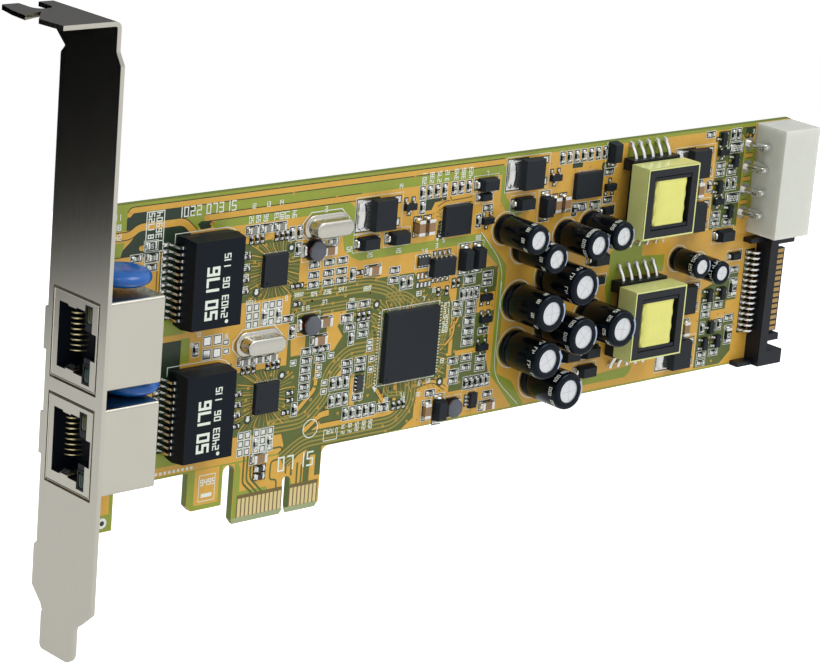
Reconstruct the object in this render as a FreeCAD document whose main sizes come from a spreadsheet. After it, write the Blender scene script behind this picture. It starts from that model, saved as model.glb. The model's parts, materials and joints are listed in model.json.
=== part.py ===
import FreeCAD, Part
import math
import os
import Sketcher

# A low-height network card. Millimetres. The origin is at the bottom of the edge tongue, at the
# centre of its key notch and in the middle of the board. +X runs along the board away from the
# bracket, +Z up, and the components stand on the -Y side.
# Pieces are placed by three distances: a place along the card from the bracket's outside face,
# a height out from the board's component face, and a drop below the bracket's top.
doc = FreeCAD.newDocument("network_card")
sheet = doc.addObject("Spreadsheet::Sheet", "dim")

sizes = {
    # card and board
    "face_x": -57.69, "top_z": 104.8, "board": 1.57,
    "board_start": 1.5, "board_end": 194.5, "board_top": 37.67, "board_bottom": 92.25,
    "leg_end": 15.8, "leg_bottom": 100.6, "leg_hole": 0.9, "leg_hole_inset": 1.85,
    "hook_start": 33.2, "hook_end": 41.7, "hook_bottom": 100.2,
    "tongue_start": 44.45, "tongue_end": 66.3, "tongue_corner": 1.1, "tongue_fillet": 1.6,
    "bevel_long": 1.3, "bevel_deep": 0.45,
    "key_width": 1.9, "key_top": 97.0, "notch_top": 92.3,
    "finger_pitch": 1.0, "finger_width": 0.7, "finger_start": 5.15, "finger_end": 1.34,
    "finger_plate": 0.05,
    # bracket
    "sheet": 0.86, "flange_reach": 12.6, "bracket_near": 16.1, "bracket_far": 1.6,
    "bracket_foot_far": 2.45, "bracket_top_near": 14.6, "bracket_top_far": 4.3,
    "foot": 120.02, "foot_long": 7.42, "foot_slope": 3.7, "foot_step": 7.9, "foot_near": 11.9,
    "foot_far": 1.5, "foot_near_corner": 2.4, "foot_far_corner": 1.0,
    "joggle": 0.5, "bend": 1.3,
    "slot_place": -5.4, "slot_radius": 2.1, "slot_centre": 0.9,
    "window_gap": 0.45, "window_low": 0.15, "ear_reach": 9.5, "ear_height": 8.0, "ear_hole_place": 6.2,
    "screw_radius": 1.45, "screw_fit": 0.05, "screw_head_radius": 2.7, "screw_head": 1.5,
    # jacks
    "jack_face": 0.1, "jack_rear": 14.65, "jack_high": 13.5, "jack_wide": 16.5,
    "jack_top": 51.05, "jack_sheet": 0.25, "jack_fit": 0.03,
    "jack_bend": 0.6, "port_depth": 12.0, "port_low": 1.7, "port_high": 9.4, "port_side": 2.15,
    "lamp_high": 11.7, "lamp_side": 0.9, "lamp_wide": 3.75, "lamp_long": 6.0,
    "latch_high": 13.0, "latch_wide": 5.0, "wire_pitch": 1.016, "wire_wide": 0.5,
    # isolation modules
    "module_wide": 12.15, "module_top": 44.5, "module_long": 17.6,
    "module_pitch": 26.0, "module_low": 0.4, "module_middle": 3.0, "module_high": 6.0,
    "module_draft": 6.0, "lead_pitch": 1.27, "lead_wide": 0.45, "lead_count": 12,
    "lead_thick": 0.25, "lead_foot": 1.3, "lead_shoulder": 1.25,
    # disc capacitors and crystals
    "disc_radius": 5.5, "disc_thick": 3.1, "disc_fit": 0.15, "disc_clear": 1.0,
    "disc_lead": 0.6, "disc_lead_gap": 2.5, "disc_lift": 1.0, "disc_upper": 10.0,
    "disc_lower": 13.0,
    "crystal_base_long": 11.0, "crystal_base_wide": 4.8, "crystal_base": 0.6,
    "crystal_brim": 0.7, "crystal_high": 3.5, "crystal_corner": 1.2,
    # can capacitors
    "small_can": 3.15, "small_can_high": 10.4, "large_can": 4.0, "large_can_high": 10.9,
    "low_can": 2.6, "low_can_high": 7.6,
    # transformers
    "core_half": 7.45, "core_low": 3.3, "core_high": 8.5, "core_window_half": 5.5,
    "core_window_half_high": 5.75, "core_post_half": 2.6, "core_post_low": 4.7,
    "core_post_high": 7.1, "winding_half": 4.5, "winding_half_long": 4.85, "tape": 0.2,
    "tape_low": 3.6, "tape_high": 8.3, "cheek_half": 5.3, "cheek": 0.7,
    "bobbin_half": 6.8, "bobbin_half_long": 8.2, "bobbin_plate": 2.3, "bobbin_low": 0.3,
    "pin_pitch": 2.5, "pin_wide": 0.7, "pin_count": 5, "pin_thick": 0.4, "pin_reach": 11.8,
    # four-way power inlet
    "inlet_long": 10.8, "inlet_wide": 24.1, "inlet_inset": 0.13, "inlet_tail_gap": 1.2,
    "inlet_high": 8.6, "inlet_wall": 1.1, "inlet_back": 1.8, "inlet_chamfer": 1.6,
    "inlet_pitch": 5.08, "inlet_pin": 1.9, "inlet_tail": 1.1,
    "inlet_pin_high": 4.2, "inlet_fit": 0.05,
    "inlet_start": "=board_end - inlet_long", "inlet_tail_place": "=inlet_start - inlet_tail_gap",
    "inlet_top": "=board_top + inlet_inset", "inlet_bottom": "=inlet_top + inlet_wide",
    # flat power inlet
    "flat_over": 1.0, "flat_mouth": 5.0, "flat_wall": 2.5, "flat_foot": 4.6, "flat_gap": 1.3,
    "flat_long": 29.2, "flat_high": 4.2, "flat_arm": 1.4, "flat_tongue_short": 0.9,
    "flat_tongue_inset": 3.0, "flat_tongue_long": 19.0, "flat_key_gap": 0.4, "flat_key": 1.5,
    "flat_tongue_low": 1.3, "flat_tongue_high": 2.5, "flat_pitch": 1.27, "flat_pad": 0.84,
    "flat_plate": 0.08, "flat_count": 15,
    "flat_end": "=board_end + flat_over", "flat_face": "=flat_end - flat_mouth",
    "flat_back": "=flat_face - flat_wall", "flat_foot_start": "=flat_back - flat_foot",
    "flat_tongue_end": "=flat_end - flat_tongue_short", "flat_top": "=inlet_bottom + flat_gap",
    "flat_bottom": "=flat_top + flat_long", "flat_tongue_top": "=flat_top + flat_tongue_inset",
    "flat_tongue_bottom": "=flat_tongue_top + flat_tongue_long",
    "flat_key_top": "=flat_tongue_bottom + flat_key_gap",
    "flat_key_bottom": "=flat_key_top + flat_key",
    # small components: each kind's length, width and height
    "resistor_long": 1.6, "resistor_wide": 0.8, "resistor_high": 0.45,
    "small_resistor_long": 1.0, "small_resistor_wide": 0.5, "small_resistor_high": 0.35,
    "wide_resistor_long": 2.0, "wide_resistor_wide": 1.2, "wide_resistor_high": 0.55,
    "large_resistor_long": 3.2, "large_resistor_wide": 1.6, "large_resistor_high": 0.6,
    "wide_capacitor_long": 2.0, "wide_capacitor_wide": 1.2, "wide_capacitor_high": 0.8,
    "flat_capacitor_long": 3.2, "flat_capacitor_wide": 1.6, "flat_capacitor_high": 1.0,
    "tall_capacitor_long": 3.2, "tall_capacitor_wide": 1.6, "tall_capacitor_high": 1.8,
    "array_long": 3.2, "array_wide": 1.6, "array_high": 0.5,
    "diode_long": 4.4, "diode_wide": 2.7, "diode_high": 2.1,
    "small_diode_long": 2.6, "small_diode_wide": 1.7, "small_diode_high": 1.1,
    "transistor_long": 2.9, "transistor_wide": 1.4, "transistor_high": 1.0,
    "case_long": 5.6, "case_wide": 6.4, "case_low": 0.5, "case_high": 2.3,
    "tab_reach": 2.2, "tab_wide": 5.6, "power_leg_long": 2.0, "power_leg_wide": 0.8,
    "power_leg_gap": 2.28,
    "inductor_foot": 3.9, "inductor_foot_high": 0.8, "inductor_top": 3.8, "inductor_cut": 1.1,
    "inductor_high": 1.9,
    # Components keep their share of the board's length.
    "stretch": "=board_end / 194.5",
}
for row, (name, size) in enumerate(sizes.items(), start=1):
    sheet.set(f"A{row}", name)
    sheet.set(f"B{row}", str(size))
    sheet.setAlias(f"B{row}", name)
doc.recompute()

roles = {"front": "XZ_Plane", "side": "YZ_Plane", "plan": "XY_Plane"}
parts = []


def value(name):
    return float(sheet.get(name))


def at_x(place):
    return f"dim.face_x + ({place})"


def at_y(height):
    return f"-dim.board / 2 - ({height})"


def at_z(drop):
    return f"dim.top_z - ({drop})"


def along(place):
    return f"({place} * dim.stretch)"


def keep(part, label):
    part.Label = label
    parts.append(part)
    return part


def add_body(label):
    body = doc.addObject("PartDesign::Body", label)
    body.AllowCompound = True
    return keep(body, label)


def origin_feature(body, role):
    return [item for item in body.Origin.OriginFeatures if item.Role == role][0]


def in_view(view, point):
    if view == "front":
        return at_x(point[0]), at_z(point[1])
    if view == "side":
        return at_y(point[0]), at_z(point[1])
    return at_x(point[0]), at_y(point[1])


def bind(sketch, kind, geometry, corner, start, expression):
    number = sketch.addConstraint(Sketcher.Constraint(kind, geometry, corner, start))
    sketch.setExpression(f"Constraints[{number}]", expression)


def draw_polygon(sketch, points):
    # The corners start on a circle, so that no two coincide, and are then bound to their places.
    first = sketch.GeometryCount
    count = len(points)
    turns = [2 * math.pi * step / count for step in range(count)]
    corners = [FreeCAD.Vector(10 * math.cos(turn), 10 * math.sin(turn), 0) for turn in turns]
    for step in range(count):
        sketch.addGeometry(Part.LineSegment(corners[step], corners[(step + 1) % count]))
    for step in range(count):
        following = first + (step + 1) % count
        sketch.addConstraint(Sketcher.Constraint("Coincident", first + step, 2, following, 1))
    for step, (across, up) in enumerate(points):
        bind(sketch, "DistanceX", first + step, 1, corners[step].x, across)
        bind(sketch, "DistanceY", first + step, 1, corners[step].y, up)


def draw_circle(sketch, centre, radius):
    number = sketch.addGeometry(Part.Circle(FreeCAD.Vector(1, 1, 0), FreeCAD.Vector(0, 0, 1), 1))
    bind(sketch, "DistanceX", number, 3, 1, centre[0])
    bind(sketch, "DistanceY", number, 3, 1, centre[1])
    limit = sketch.addConstraint(Sketcher.Constraint("Radius", number, 1))
    sketch.setExpression(f"Constraints[{limit}]", str(radius))


def add_sketch(body, view, offset):
    sketch = body.newObject("Sketcher::SketchObject", body.Name + "_outline")
    sketch.AttachmentSupport = [(origin_feature(body, roles[view]), "")]
    sketch.MapMode = "FlatFace"
    sketch.setExpression("AttachmentOffset.Base.z", offset)
    return sketch


def prism(body, view, loops, span, cut=False, draft=None, backward=False):
    # A loop is a list of corners, or a pair of centre and radius.
    near, far = span
    offsets = {"front": f"dim.board / 2 + ({near})", "side": at_x(near), "plan": at_z(far)}
    sketch = add_sketch(body, view, offsets[view])
    for loop in loops:
        if isinstance(loop, list):
            draw_polygon(sketch, [in_view(view, point) for point in loop])
        else:
            draw_circle(sketch, in_view(view, loop[0]), loop[1])
    before = body.Shape.Volume if body.Tip else 0
    feature = body.newObject("PartDesign::Pocket" if cut else "PartDesign::Pad", body.Name + "_step")
    feature.Profile = sketch
    feature.Reversed = cut != backward
    feature.setExpression("Length", f"({far}) - ({near})")
    if draft:
        feature.setExpression("TaperAngle", draft)
    sketch.Visibility = False
    doc.recompute()
    change = body.Shape.Volume - before
    if change >= 0 if cut else change <= 0:
        raise ValueError(f"{feature.Name} changes nothing")
    return feature


def box_loop(across, down):
    return [(across[0], down[0]), (across[1], down[0]), (across[1], down[1]), (across[0], down[1])]


def turned(body, place, drop, profile):
    # Revolves corners of (radius, height) about a line square to the board.
    sketch = add_sketch(body, "plan", at_z(drop))
    sketch.setExpression("AttachmentOffset.Base.x", at_x(place))
    draw_polygon(sketch, [(str(radius), at_y(height)) for radius, height in profile])
    feature = body.newObject("PartDesign::Revolution", body.Name + "_turn")
    feature.Profile = sketch
    feature.ReferenceAxis = (sketch, ["V_Axis"])
    feature.Angle = 360
    sketch.Visibility = False
    doc.recompute()
    return feature


def edges_where(body, test):
    # The test reads an edge's middle as place, height and drop, and the way that it runs.
    names = []
    for number, edge in enumerate(body.Shape.Edges, start=1):
        middle = edge.CenterOfMass
        place = middle.x - value("face_x")
        height = -middle.y - value("board") / 2
        drop = value("top_z") - middle.z
        ends = edge.Vertexes
        run = ends[-1].Point - ends[0].Point
        if test(place, height, drop, run):
            names.append(f"Edge{number}")
    return names


def near(first, second, allowance=0.02):
    return abs(first - second) < allowance


def dress(body, kind, test, size):
    names = edges_where(body, test)
    if not names:
        raise ValueError(f"{body.Name} has no such edge")
    last = body.Tip
    feature = body.newObject(f"PartDesign::{kind}", body.Name + "_" + kind.lower())
    feature.Base = (last, names)
    feature.setExpression("Radius" if kind == "Fillet" else "Size", str(size))
    doc.recompute()
    return feature


def repeat(body, features, axis, pitch, count, backward=False):
    pattern = body.newObject("PartDesign::LinearPattern", body.Name + "_row")
    pattern.Originals = features
    pattern.Direction = (origin_feature(body, axis), [""])
    pattern.Mode = "Spacing"
    pattern.Reversed = backward
    pattern.setExpression("Offset", str(pitch))
    pattern.setExpression("Occurrences", str(count))
    body.Tip = pattern
    doc.recompute()
    return pattern


def box(label, across, out, down):
    solid = doc.addObject("Part::Box", label)
    solid.setExpression("Length", f"({across[1]}) - ({across[0]})")
    solid.setExpression("Width", f"({out[1]}) - ({out[0]})")
    solid.setExpression("Height", f"({down[1]}) - ({down[0]})")
    solid.setExpression("Placement.Base.x", at_x(across[0]))
    solid.setExpression("Placement.Base.y", at_y(out[1]))
    solid.setExpression("Placement.Base.z", at_z(down[1]))
    return solid


def around(centre, length):
    return f"({centre}) - ({length}) / 2", f"({centre}) + ({length}) / 2"


def group(label, solids):
    compound = doc.addObject("Part::Compound", label)
    compound.Links = solids
    return keep(compound, label)


# ---- bracket and board ----

# The gap between the jacks takes the lower disc capacitor.
jack_pitch = "(dim.jack_wide + dim.disc_thick + 2 * dim.disc_fit)"
ear_drops = [f"dim.jack_top + dim.jack_wide / 2 + {jack_pitch} * {row}" for row in range(2)]
neck = "(dim.foot - dim.foot_long)"
shoulder = f"({neck} - dim.foot_slope)"


def make_bracket():
    bracket = add_body("bracket")
    # One strip bent at the flange and set back at the foot, then cut to its outlines.
    strip = [
        ("-dim.flange_reach", 0), ("dim.sheet", 0), ("dim.sheet", f"{neck} - 1"),
        ("dim.sheet - dim.joggle", f"{neck} + 0.6"), ("dim.sheet - dim.joggle", "dim.foot"),
        ("-dim.joggle", "dim.foot"), ("-dim.joggle", f"{neck} + 0.6"), (0, f"{neck} - 1"),
        (0, "dim.sheet"), ("-dim.flange_reach", "dim.sheet")]
    prism(bracket, "front", [strip], ("-dim.bracket_top_far", "dim.bracket_near"))
    dress(bracket, "Fillet", lambda x, h, d, run: near(x, value("sheet")) and near(d, 0), "dim.bend")
    dress(
        bracket, "Fillet", lambda x, h, d, run: near(x, 0) and near(d, value("sheet")),
        "dim.bend - dim.sheet")
    blank = box_loop((-30, 30), (-10, "dim.foot + 10"))
    face = [
        ("dim.bracket_top_near", -1), ("dim.bracket_top_near", 5.4), ("dim.bracket_near", 7.6),
        ("dim.bracket_near", shoulder), ("dim.foot_near", neck),
        ("dim.foot_near", "dim.foot + 1"), ("dim.foot_far", "dim.foot + 1"),
        ("dim.foot_far", neck), ("-dim.bracket_foot_far", shoulder),
        ("-dim.bracket_foot_far", f"{shoulder} - dim.foot_step"),
        ("-dim.bracket_far", f"{shoulder} - dim.foot_step - 0.8"), ("-dim.bracket_far", 8.6),
        (-0.4, 7.2), ("-dim.bracket_top_far", 4), ("-dim.bracket_top_far", -1)]
    prism(bracket, "side", [blank, face], ("-dim.joggle - 1", "dim.sheet + 1"), cut=True)
    flange = [
        (2, "dim.bracket_top_near"), (-11.4, "dim.bracket_top_near"), (-12, 8.2), (-8, 3.2),
        ("-dim.flange_reach", 5), (-12.2, 0.5), (-11.2, -4), (-10, -5.5), (-7.3, -5.5),
        (-7.3, "-dim.bracket_top_far"), (2, "-dim.bracket_top_far")]
    prism(bracket, "plan", [box_loop((-20, 3), (-12, 22)), flange], (-1, "dim.sheet"), cut=True)
    slot_side = ("dim.slot_place - dim.slot_radius", "dim.slot_place + dim.slot_radius")
    slot_mouth = box_loop(slot_side, (-8, "-dim.slot_centre"))
    prism(bracket, "plan", [slot_mouth], (-1, "dim.sheet + 1"), cut=True)
    slot_end = (("dim.slot_place", "-dim.slot_centre"), "dim.slot_radius")
    prism(bracket, "plan", [slot_end], (-1, "dim.sheet + 1"), cut=True)
    windows = []
    for row in range(2):
        top = f"dim.jack_top + {jack_pitch} * {row}"
        down = (f"{top} - dim.window_gap", f"{top} + dim.jack_wide + dim.window_gap")
        windows.append(box_loop(("-dim.window_low", "dim.jack_high + dim.window_gap"), down))
    prism(bracket, "side", windows, (-1, "dim.sheet + 1"), cut=True)
    ear_face = ("-dim.board - dim.sheet", "-dim.board")
    for drop in ear_drops:
        down = around(drop, "dim.ear_height")
        root = box_loop(("-dim.board - dim.sheet", "-dim.board / 2"), down)
        prism(bracket, "side", [root], (0, "dim.sheet"))
        prism(bracket, "front", [box_loop((0, "dim.ear_reach"), down)], ear_face)
    holes = [(("dim.ear_hole_place", drop), "dim.screw_radius + dim.screw_fit") for drop in ear_drops]
    prism(bracket, "front", holes, ("-dim.board - dim.sheet - 1", "-dim.board"), cut=True)
    foot_drop = value("foot")
    across = lambda run: abs(run.x) > 0.5 and near(run.y, 0) and near(run.z, 0)
    for side in ("foot_near", "foot_far"):
        at_corner = lambda x, h, d, run: near(d, foot_drop) and near(h, value(side)) and across(run)
        dress(bracket, "Fillet", at_corner, f"dim.{side}_corner")


def make_bracket_screws():
    screws = add_body("bracket_screws")
    ear_back = "-dim.board - dim.sheet"
    for drop in ear_drops:
        centre = ("dim.ear_hole_place", drop)
        prism(screws, "front", [(centre, "dim.screw_radius")], (ear_back, 0))
        head = [(centre, "dim.screw_head_radius")]
        prism(screws, "front", head, (f"{ear_back} - dim.screw_head", ear_back))


def make_board():
    board = add_body("circuit_board")
    key = ("-dim.face_x - dim.key_width / 2", "-dim.face_x + dim.key_width / 2")
    key_centre = "dim.key_top + dim.key_width / 2"
    notch_radius = "(dim.tongue_start - dim.hook_end) / 2"
    notch_centre = f"dim.notch_top + {notch_radius}"
    corner = "dim.top_z - dim.tongue_corner"
    outline = [
        ("dim.board_start", "dim.board_top"), ("dim.board_end", "dim.board_top"),
        ("dim.board_end", "dim.board_bottom"), ("dim.tongue_end", "dim.board_bottom"),
        ("dim.tongue_end", corner), ("dim.tongue_end - dim.tongue_corner * 0.6", "dim.top_z"),
        (key[1], "dim.top_z"), (key[1], key_centre), (key[0], key_centre), (key[0], "dim.top_z"),
        ("dim.tongue_start + dim.tongue_corner * 0.6", "dim.top_z"), ("dim.tongue_start", corner),
        ("dim.tongue_start", notch_centre), ("dim.hook_end", notch_centre),
        ("dim.hook_end", "dim.hook_bottom"), ("dim.hook_start + 1.2", "dim.hook_bottom"),
        ("dim.hook_start", "dim.hook_bottom - 1.2"), ("dim.hook_start", "dim.board_bottom"),
        ("dim.leg_end", "dim.board_bottom"), ("dim.leg_end", "dim.leg_bottom"),
        ("dim.board_start", "dim.leg_bottom")]
    prism(board, "front", [outline], ("-dim.board", 0))
    through = ("-dim.board - 1", 1)
    prism(board, "front", [(("-dim.face_x", key_centre), "dim.key_width / 2")], through, cut=True)
    notch_place = "(dim.tongue_start + dim.hook_end) / 2"
    prism(board, "front", [((notch_place, notch_centre), notch_radius)], through, cut=True)
    leg_hole = ("dim.leg_end - dim.leg_hole_inset", "dim.leg_bottom - dim.leg_hole_inset")
    holes = [(leg_hole, "dim.leg_hole")]
    for drop in ear_drops:
        holes.append((("dim.ear_hole_place", drop), "dim.screw_radius + dim.screw_fit"))
    prism(board, "front", holes, through, cut=True)
    tongue = ("dim.tongue_start - 1", "dim.tongue_end + 1")
    for face, inward in (("0", "-1"), ("-dim.board", "1")):
        bevel = [
            (face, "dim.top_z - dim.bevel_long"), (face, "dim.top_z"),
            (f"{face} + {inward} * dim.bevel_deep", "dim.top_z")]
        prism(board, "side", [bevel], tongue, cut=True)
    inner_corner = lambda x, h, d, run: (
        near(x, value("tongue_end")) and near(d, value("board_bottom")) and near(run.x, 0)
        and near(run.z, 0))
    dress(board, "Fillet", inner_corner, "dim.tongue_fillet")


def make_edge_contacts():
    # Eleven places before the key and seven after it, on both faces.
    pads = []
    down = ("dim.top_z - dim.finger_start", "dim.top_z - dim.finger_end")
    for side in (("0", "dim.finger_plate"), ("-dim.board - dim.finger_plate", "-dim.board")):
        for place in [step - 11.5 for step in range(11)] + [step + 1.5 for step in range(7)]:
            centre = f"-dim.face_x + dim.finger_pitch * ({place})"
            pads.append(box("finger", around(centre, "dim.finger_width"), side, down))
    group("edge_contacts", pads)


# ---- jacks ----

def make_jack(row, which):
    top = f"dim.jack_top + {jack_pitch} * {row}"
    side = lambda inset: (f"{top} + {inset}", f"{top} + dim.jack_wide - ({inset})")
    middle = f"{top} + dim.jack_wide / 2"
    latch = around(middle, "dim.latch_wide")
    port = side("dim.port_side")
    lamps = side("dim.lamp_side")
    inside = "dim.jack_sheet + dim.jack_fit"

    shield = add_body(f"jack_shield_{which}")
    prism(shield, "side", [box_loop((0, "dim.jack_high"), side(0))], ("dim.jack_face", "dim.jack_rear"))
    lid_edge = lambda x, h, d, run: near(h, value("jack_high")) and abs(run.x) > 10
    dress(shield, "Fillet", lid_edge, "dim.jack_bend")
    hollow = box_loop((-1, "dim.jack_high - dim.jack_sheet"), side("dim.jack_sheet"))
    hollow_depth = ("dim.jack_face + dim.jack_sheet", "dim.jack_rear - dim.jack_sheet")
    prism(shield, "side", [hollow], hollow_depth, cut=True)
    mouth = [
        ("dim.port_low", port[0]), ("dim.port_low", port[1]), ("dim.port_high", port[1]),
        ("dim.port_high", lamps[1]), ("dim.lamp_high", lamps[1]), ("dim.lamp_high", latch[1]),
        ("dim.latch_high", latch[1]), ("dim.latch_high", latch[0]), ("dim.lamp_high", latch[0]),
        ("dim.lamp_high", lamps[0]), ("dim.port_high", lamps[0]), ("dim.port_high", port[0])]
    prism(shield, "side", [mouth], (0, "dim.jack_face + dim.jack_sheet"), cut=True)
    # A spring blade folded in at each side of the port.
    for edge, sign in ((port[0], 1), (port[1], -1)):
        blade = [
            ("dim.jack_face", f"{edge} - {sign} * 0.1"),
            ("dim.jack_face + dim.jack_sheet", f"{edge} - {sign} * 0.1"),
            ("dim.jack_face + dim.jack_sheet", f"{edge} + {sign} * 0.12"),
            ("dim.jack_face + 5", f"{edge} + {sign} * 0.4"),
            ("dim.jack_face + 5", f"{edge} + {sign} * 0.6"),
            ("dim.jack_face", f"{edge} + {sign} * 0.3")]
        prism(shield, "front", [blade], (4.4, 6.8))

    insert = add_body(f"jack_insert_{which}")
    block = box_loop((0, f"dim.jack_high - ({inside})"), side(inside))
    depth = (f"dim.jack_face + {inside}", f"dim.jack_rear - ({inside})")
    prism(insert, "side", [block], depth)
    port_loop = [
        ("dim.port_low", port[0]), ("dim.port_low", port[1]), ("dim.port_high", port[1]),
        ("dim.port_high", latch[1]), ("dim.latch_high", latch[1]), ("dim.latch_high", latch[0]),
        ("dim.port_high", latch[0]), ("dim.port_high", port[0])]
    prism(insert, "side", [port_loop], ("dim.jack_face", "dim.port_depth"), cut=True)
    lamp_out = ("dim.port_high", "dim.lamp_high")
    lamp_places = (
        (lamps[0], f"{lamps[0]} + dim.lamp_wide"), (f"{lamps[1]} - dim.lamp_wide", lamps[1]))
    lamp_end = "dim.jack_face + dim.lamp_long"
    lamp_pockets = [box_loop(lamp_out, place) for place in lamp_places]
    prism(insert, "side", lamp_pockets, ("dim.jack_face", lamp_end), cut=True)

    for name, place in zip((f"amber_lamp_{which}", f"green_lamp_{which}"), lamp_places):
        out = ("dim.port_high + dim.jack_fit", "dim.lamp_high - dim.jack_fit")
        down = (f"{place[0]} + dim.jack_fit", f"{place[1]} - dim.jack_fit")
        lamp = add_body(name)
        prism(lamp, "side", [box_loop(out, down)], ("dim.jack_face + 0.1", lamp_end))

    # Spring wires that lean from the port's floor to its back.
    wires = add_body(f"jack_contacts_{which}")
    wire = [
        (1.9, "dim.port_low"), (2.5, "dim.port_low"), (2.9, "dim.port_low + 0.9"),
        ("dim.port_depth", "dim.port_low + 3.4"), ("dim.port_depth", "dim.port_low + 3.8"),
        (2.6, "dim.port_low + 1.3")]
    first = f"{middle} + dim.wire_pitch * 3.5"
    lead = prism(wires, "plan", [wire], around(first, "dim.wire_wide"))
    repeat(wires, [lead], "Z_Axis", "dim.wire_pitch", 8)


# ---- isolation modules ----

def make_module(row, which):
    top = f"dim.module_top + dim.module_pitch * {row}"
    across = around(along(32.825), "dim.module_wide")
    outline = box_loop(across, (top, f"{top} + dim.module_long"))
    case = add_body(f"isolation_module_{which}")
    prism(case, "front", [outline], ("dim.module_middle", "dim.module_high"), draft="-dim.module_draft")
    low_half = ("dim.module_middle", "2 * dim.module_middle - dim.module_low")
    prism(case, "front", [outline], low_half, draft="-dim.module_draft", backward=True)

    leads = add_body(f"isolation_leads_{which}")
    middle = f"{top} + dim.module_long / 2"
    first = f"{middle} + dim.lead_pitch * (dim.lead_count - 1) / 2"
    wings = []
    for root, way in zip(across, ("-1", "1")):
        out = lambda reach: f"{root} + {way} * ({reach})"
        high = "dim.module_middle + dim.lead_thick / 2"
        low = "dim.module_middle - dim.lead_thick / 2"
        knee = "dim.lead_shoulder"
        toe = "dim.lead_shoulder + dim.lead_foot"
        wing = [
            (root, high), (out(knee), high), (out(knee), "dim.lead_thick"),
            (out(toe), "dim.lead_thick"), (out(toe), 0),
            (out(f"{knee} - dim.lead_thick"), 0), (out(f"{knee} - dim.lead_thick"), low),
            (root, low)]
        wings.append(prism(leads, "plan", [wing], around(first, "dim.lead_wide")))
    repeat(leads, wings, "Z_Axis", "dim.lead_pitch", "dim.lead_count")


# ---- disc capacitors and crystals ----

def make_disc(which, place, drop):
    disc = add_body(f"disc_capacitor_{which}")
    height = "dim.disc_lift + dim.disc_radius"
    prism(disc, "plan", [((place, height), "dim.disc_radius")], around(drop, "dim.disc_thick"))
    dress(disc, "Chamfer", lambda x, h, d, run: run.Length < 0.1, "dim.disc_thick * 0.25")
    for side in (-1, 1):
        lead = around(f"{place} + {side} * dim.disc_lead_gap", "dim.disc_lead")
        root = box_loop(lead, around(drop, "dim.disc_lead"))
        prism(disc, "front", [root], (0, "dim.disc_lift + 1.2"))


def make_crystal(which, place, drop):
    crystal = add_body(f"crystal_{which}")
    base = box_loop(around(place, "dim.crystal_base_long"), around(drop, "dim.crystal_base_wide"))
    prism(crystal, "front", [base], (0, "dim.crystal_base"))
    dress(crystal, "Chamfer", lambda x, h, d, run: abs(run.y) > 0.3, "dim.crystal_corner")
    long = "dim.crystal_base_long - 2 * dim.crystal_brim"
    wide = "dim.crystal_base_wide - 2 * dim.crystal_brim"
    can = box_loop(around(place, f"({long})"), around(drop, f"({wide})"))
    prism(crystal, "front", [can], ("dim.crystal_base", "dim.crystal_high"))
    dress(crystal, "Fillet", lambda x, h, d, run: abs(run.y) > 1, f"({wide}) * 0.46")


# ---- chips ----

def make_chips():
    case = add_body("switch_chip")
    prism(case, "front", [box_loop(around(along(86.95), 13.9), (66.7, 81.2))], (0.1, 1.3))
    dress(case, "Chamfer", lambda x, h, d, run: near(h, 1.3), 0.2)
    network_across = around(along(50.8), 5.8)
    group("network_chips", [box("network_chip", network_across, (0, 0.9), down) for down in (
        (51.0, 57.4), (76.6, 82.8))])
    controllers = [
        box("power_controller", around(along(97), 7.2), (0.1, 1), (46.5, 52.7)),
        box("power_controller", around(along(133.1), 7.6), (0.1, 1), (43.4, 48.9))]
    group("power_controllers", controllers)
    outlines = [
        box("small_outline_chip", around(along(94), 6), (0.1, 1.5), (56.9, 60.7)),
        box("small_outline_chip", around(along(105.5), 1.8), (0.1, 1.1), (86.9, 90.2))]
    group("small_outline_chips", outlines)


# ---- can capacitors ----

can_places = [
    ("small", 110.7, 53.0), ("small", 116.3, 57.6), ("small", 128.0, 56.1), ("small", 135.1, 55.0),
    ("large", 124.7, 64.4), ("large", 115.8, 68.8), ("large", 125.7, 75.1), ("large", 137.0, 75.0),
    ("large", 116.0, 78.9), ("large", 122.9, 86.4), ("low", 162.9, 65.6), ("low", 169.4, 67.8)]


def make_can(number, kind, place, drop):
    can = add_body(f"can_capacitor_{number}")
    radius = f"dim.{kind}_can"
    top = f"dim.{kind}_can_high"
    turned(can, along(place), drop, [(0, 0), (radius, 0), (radius, top), (0, top)])


# ---- transformers ----

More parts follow.
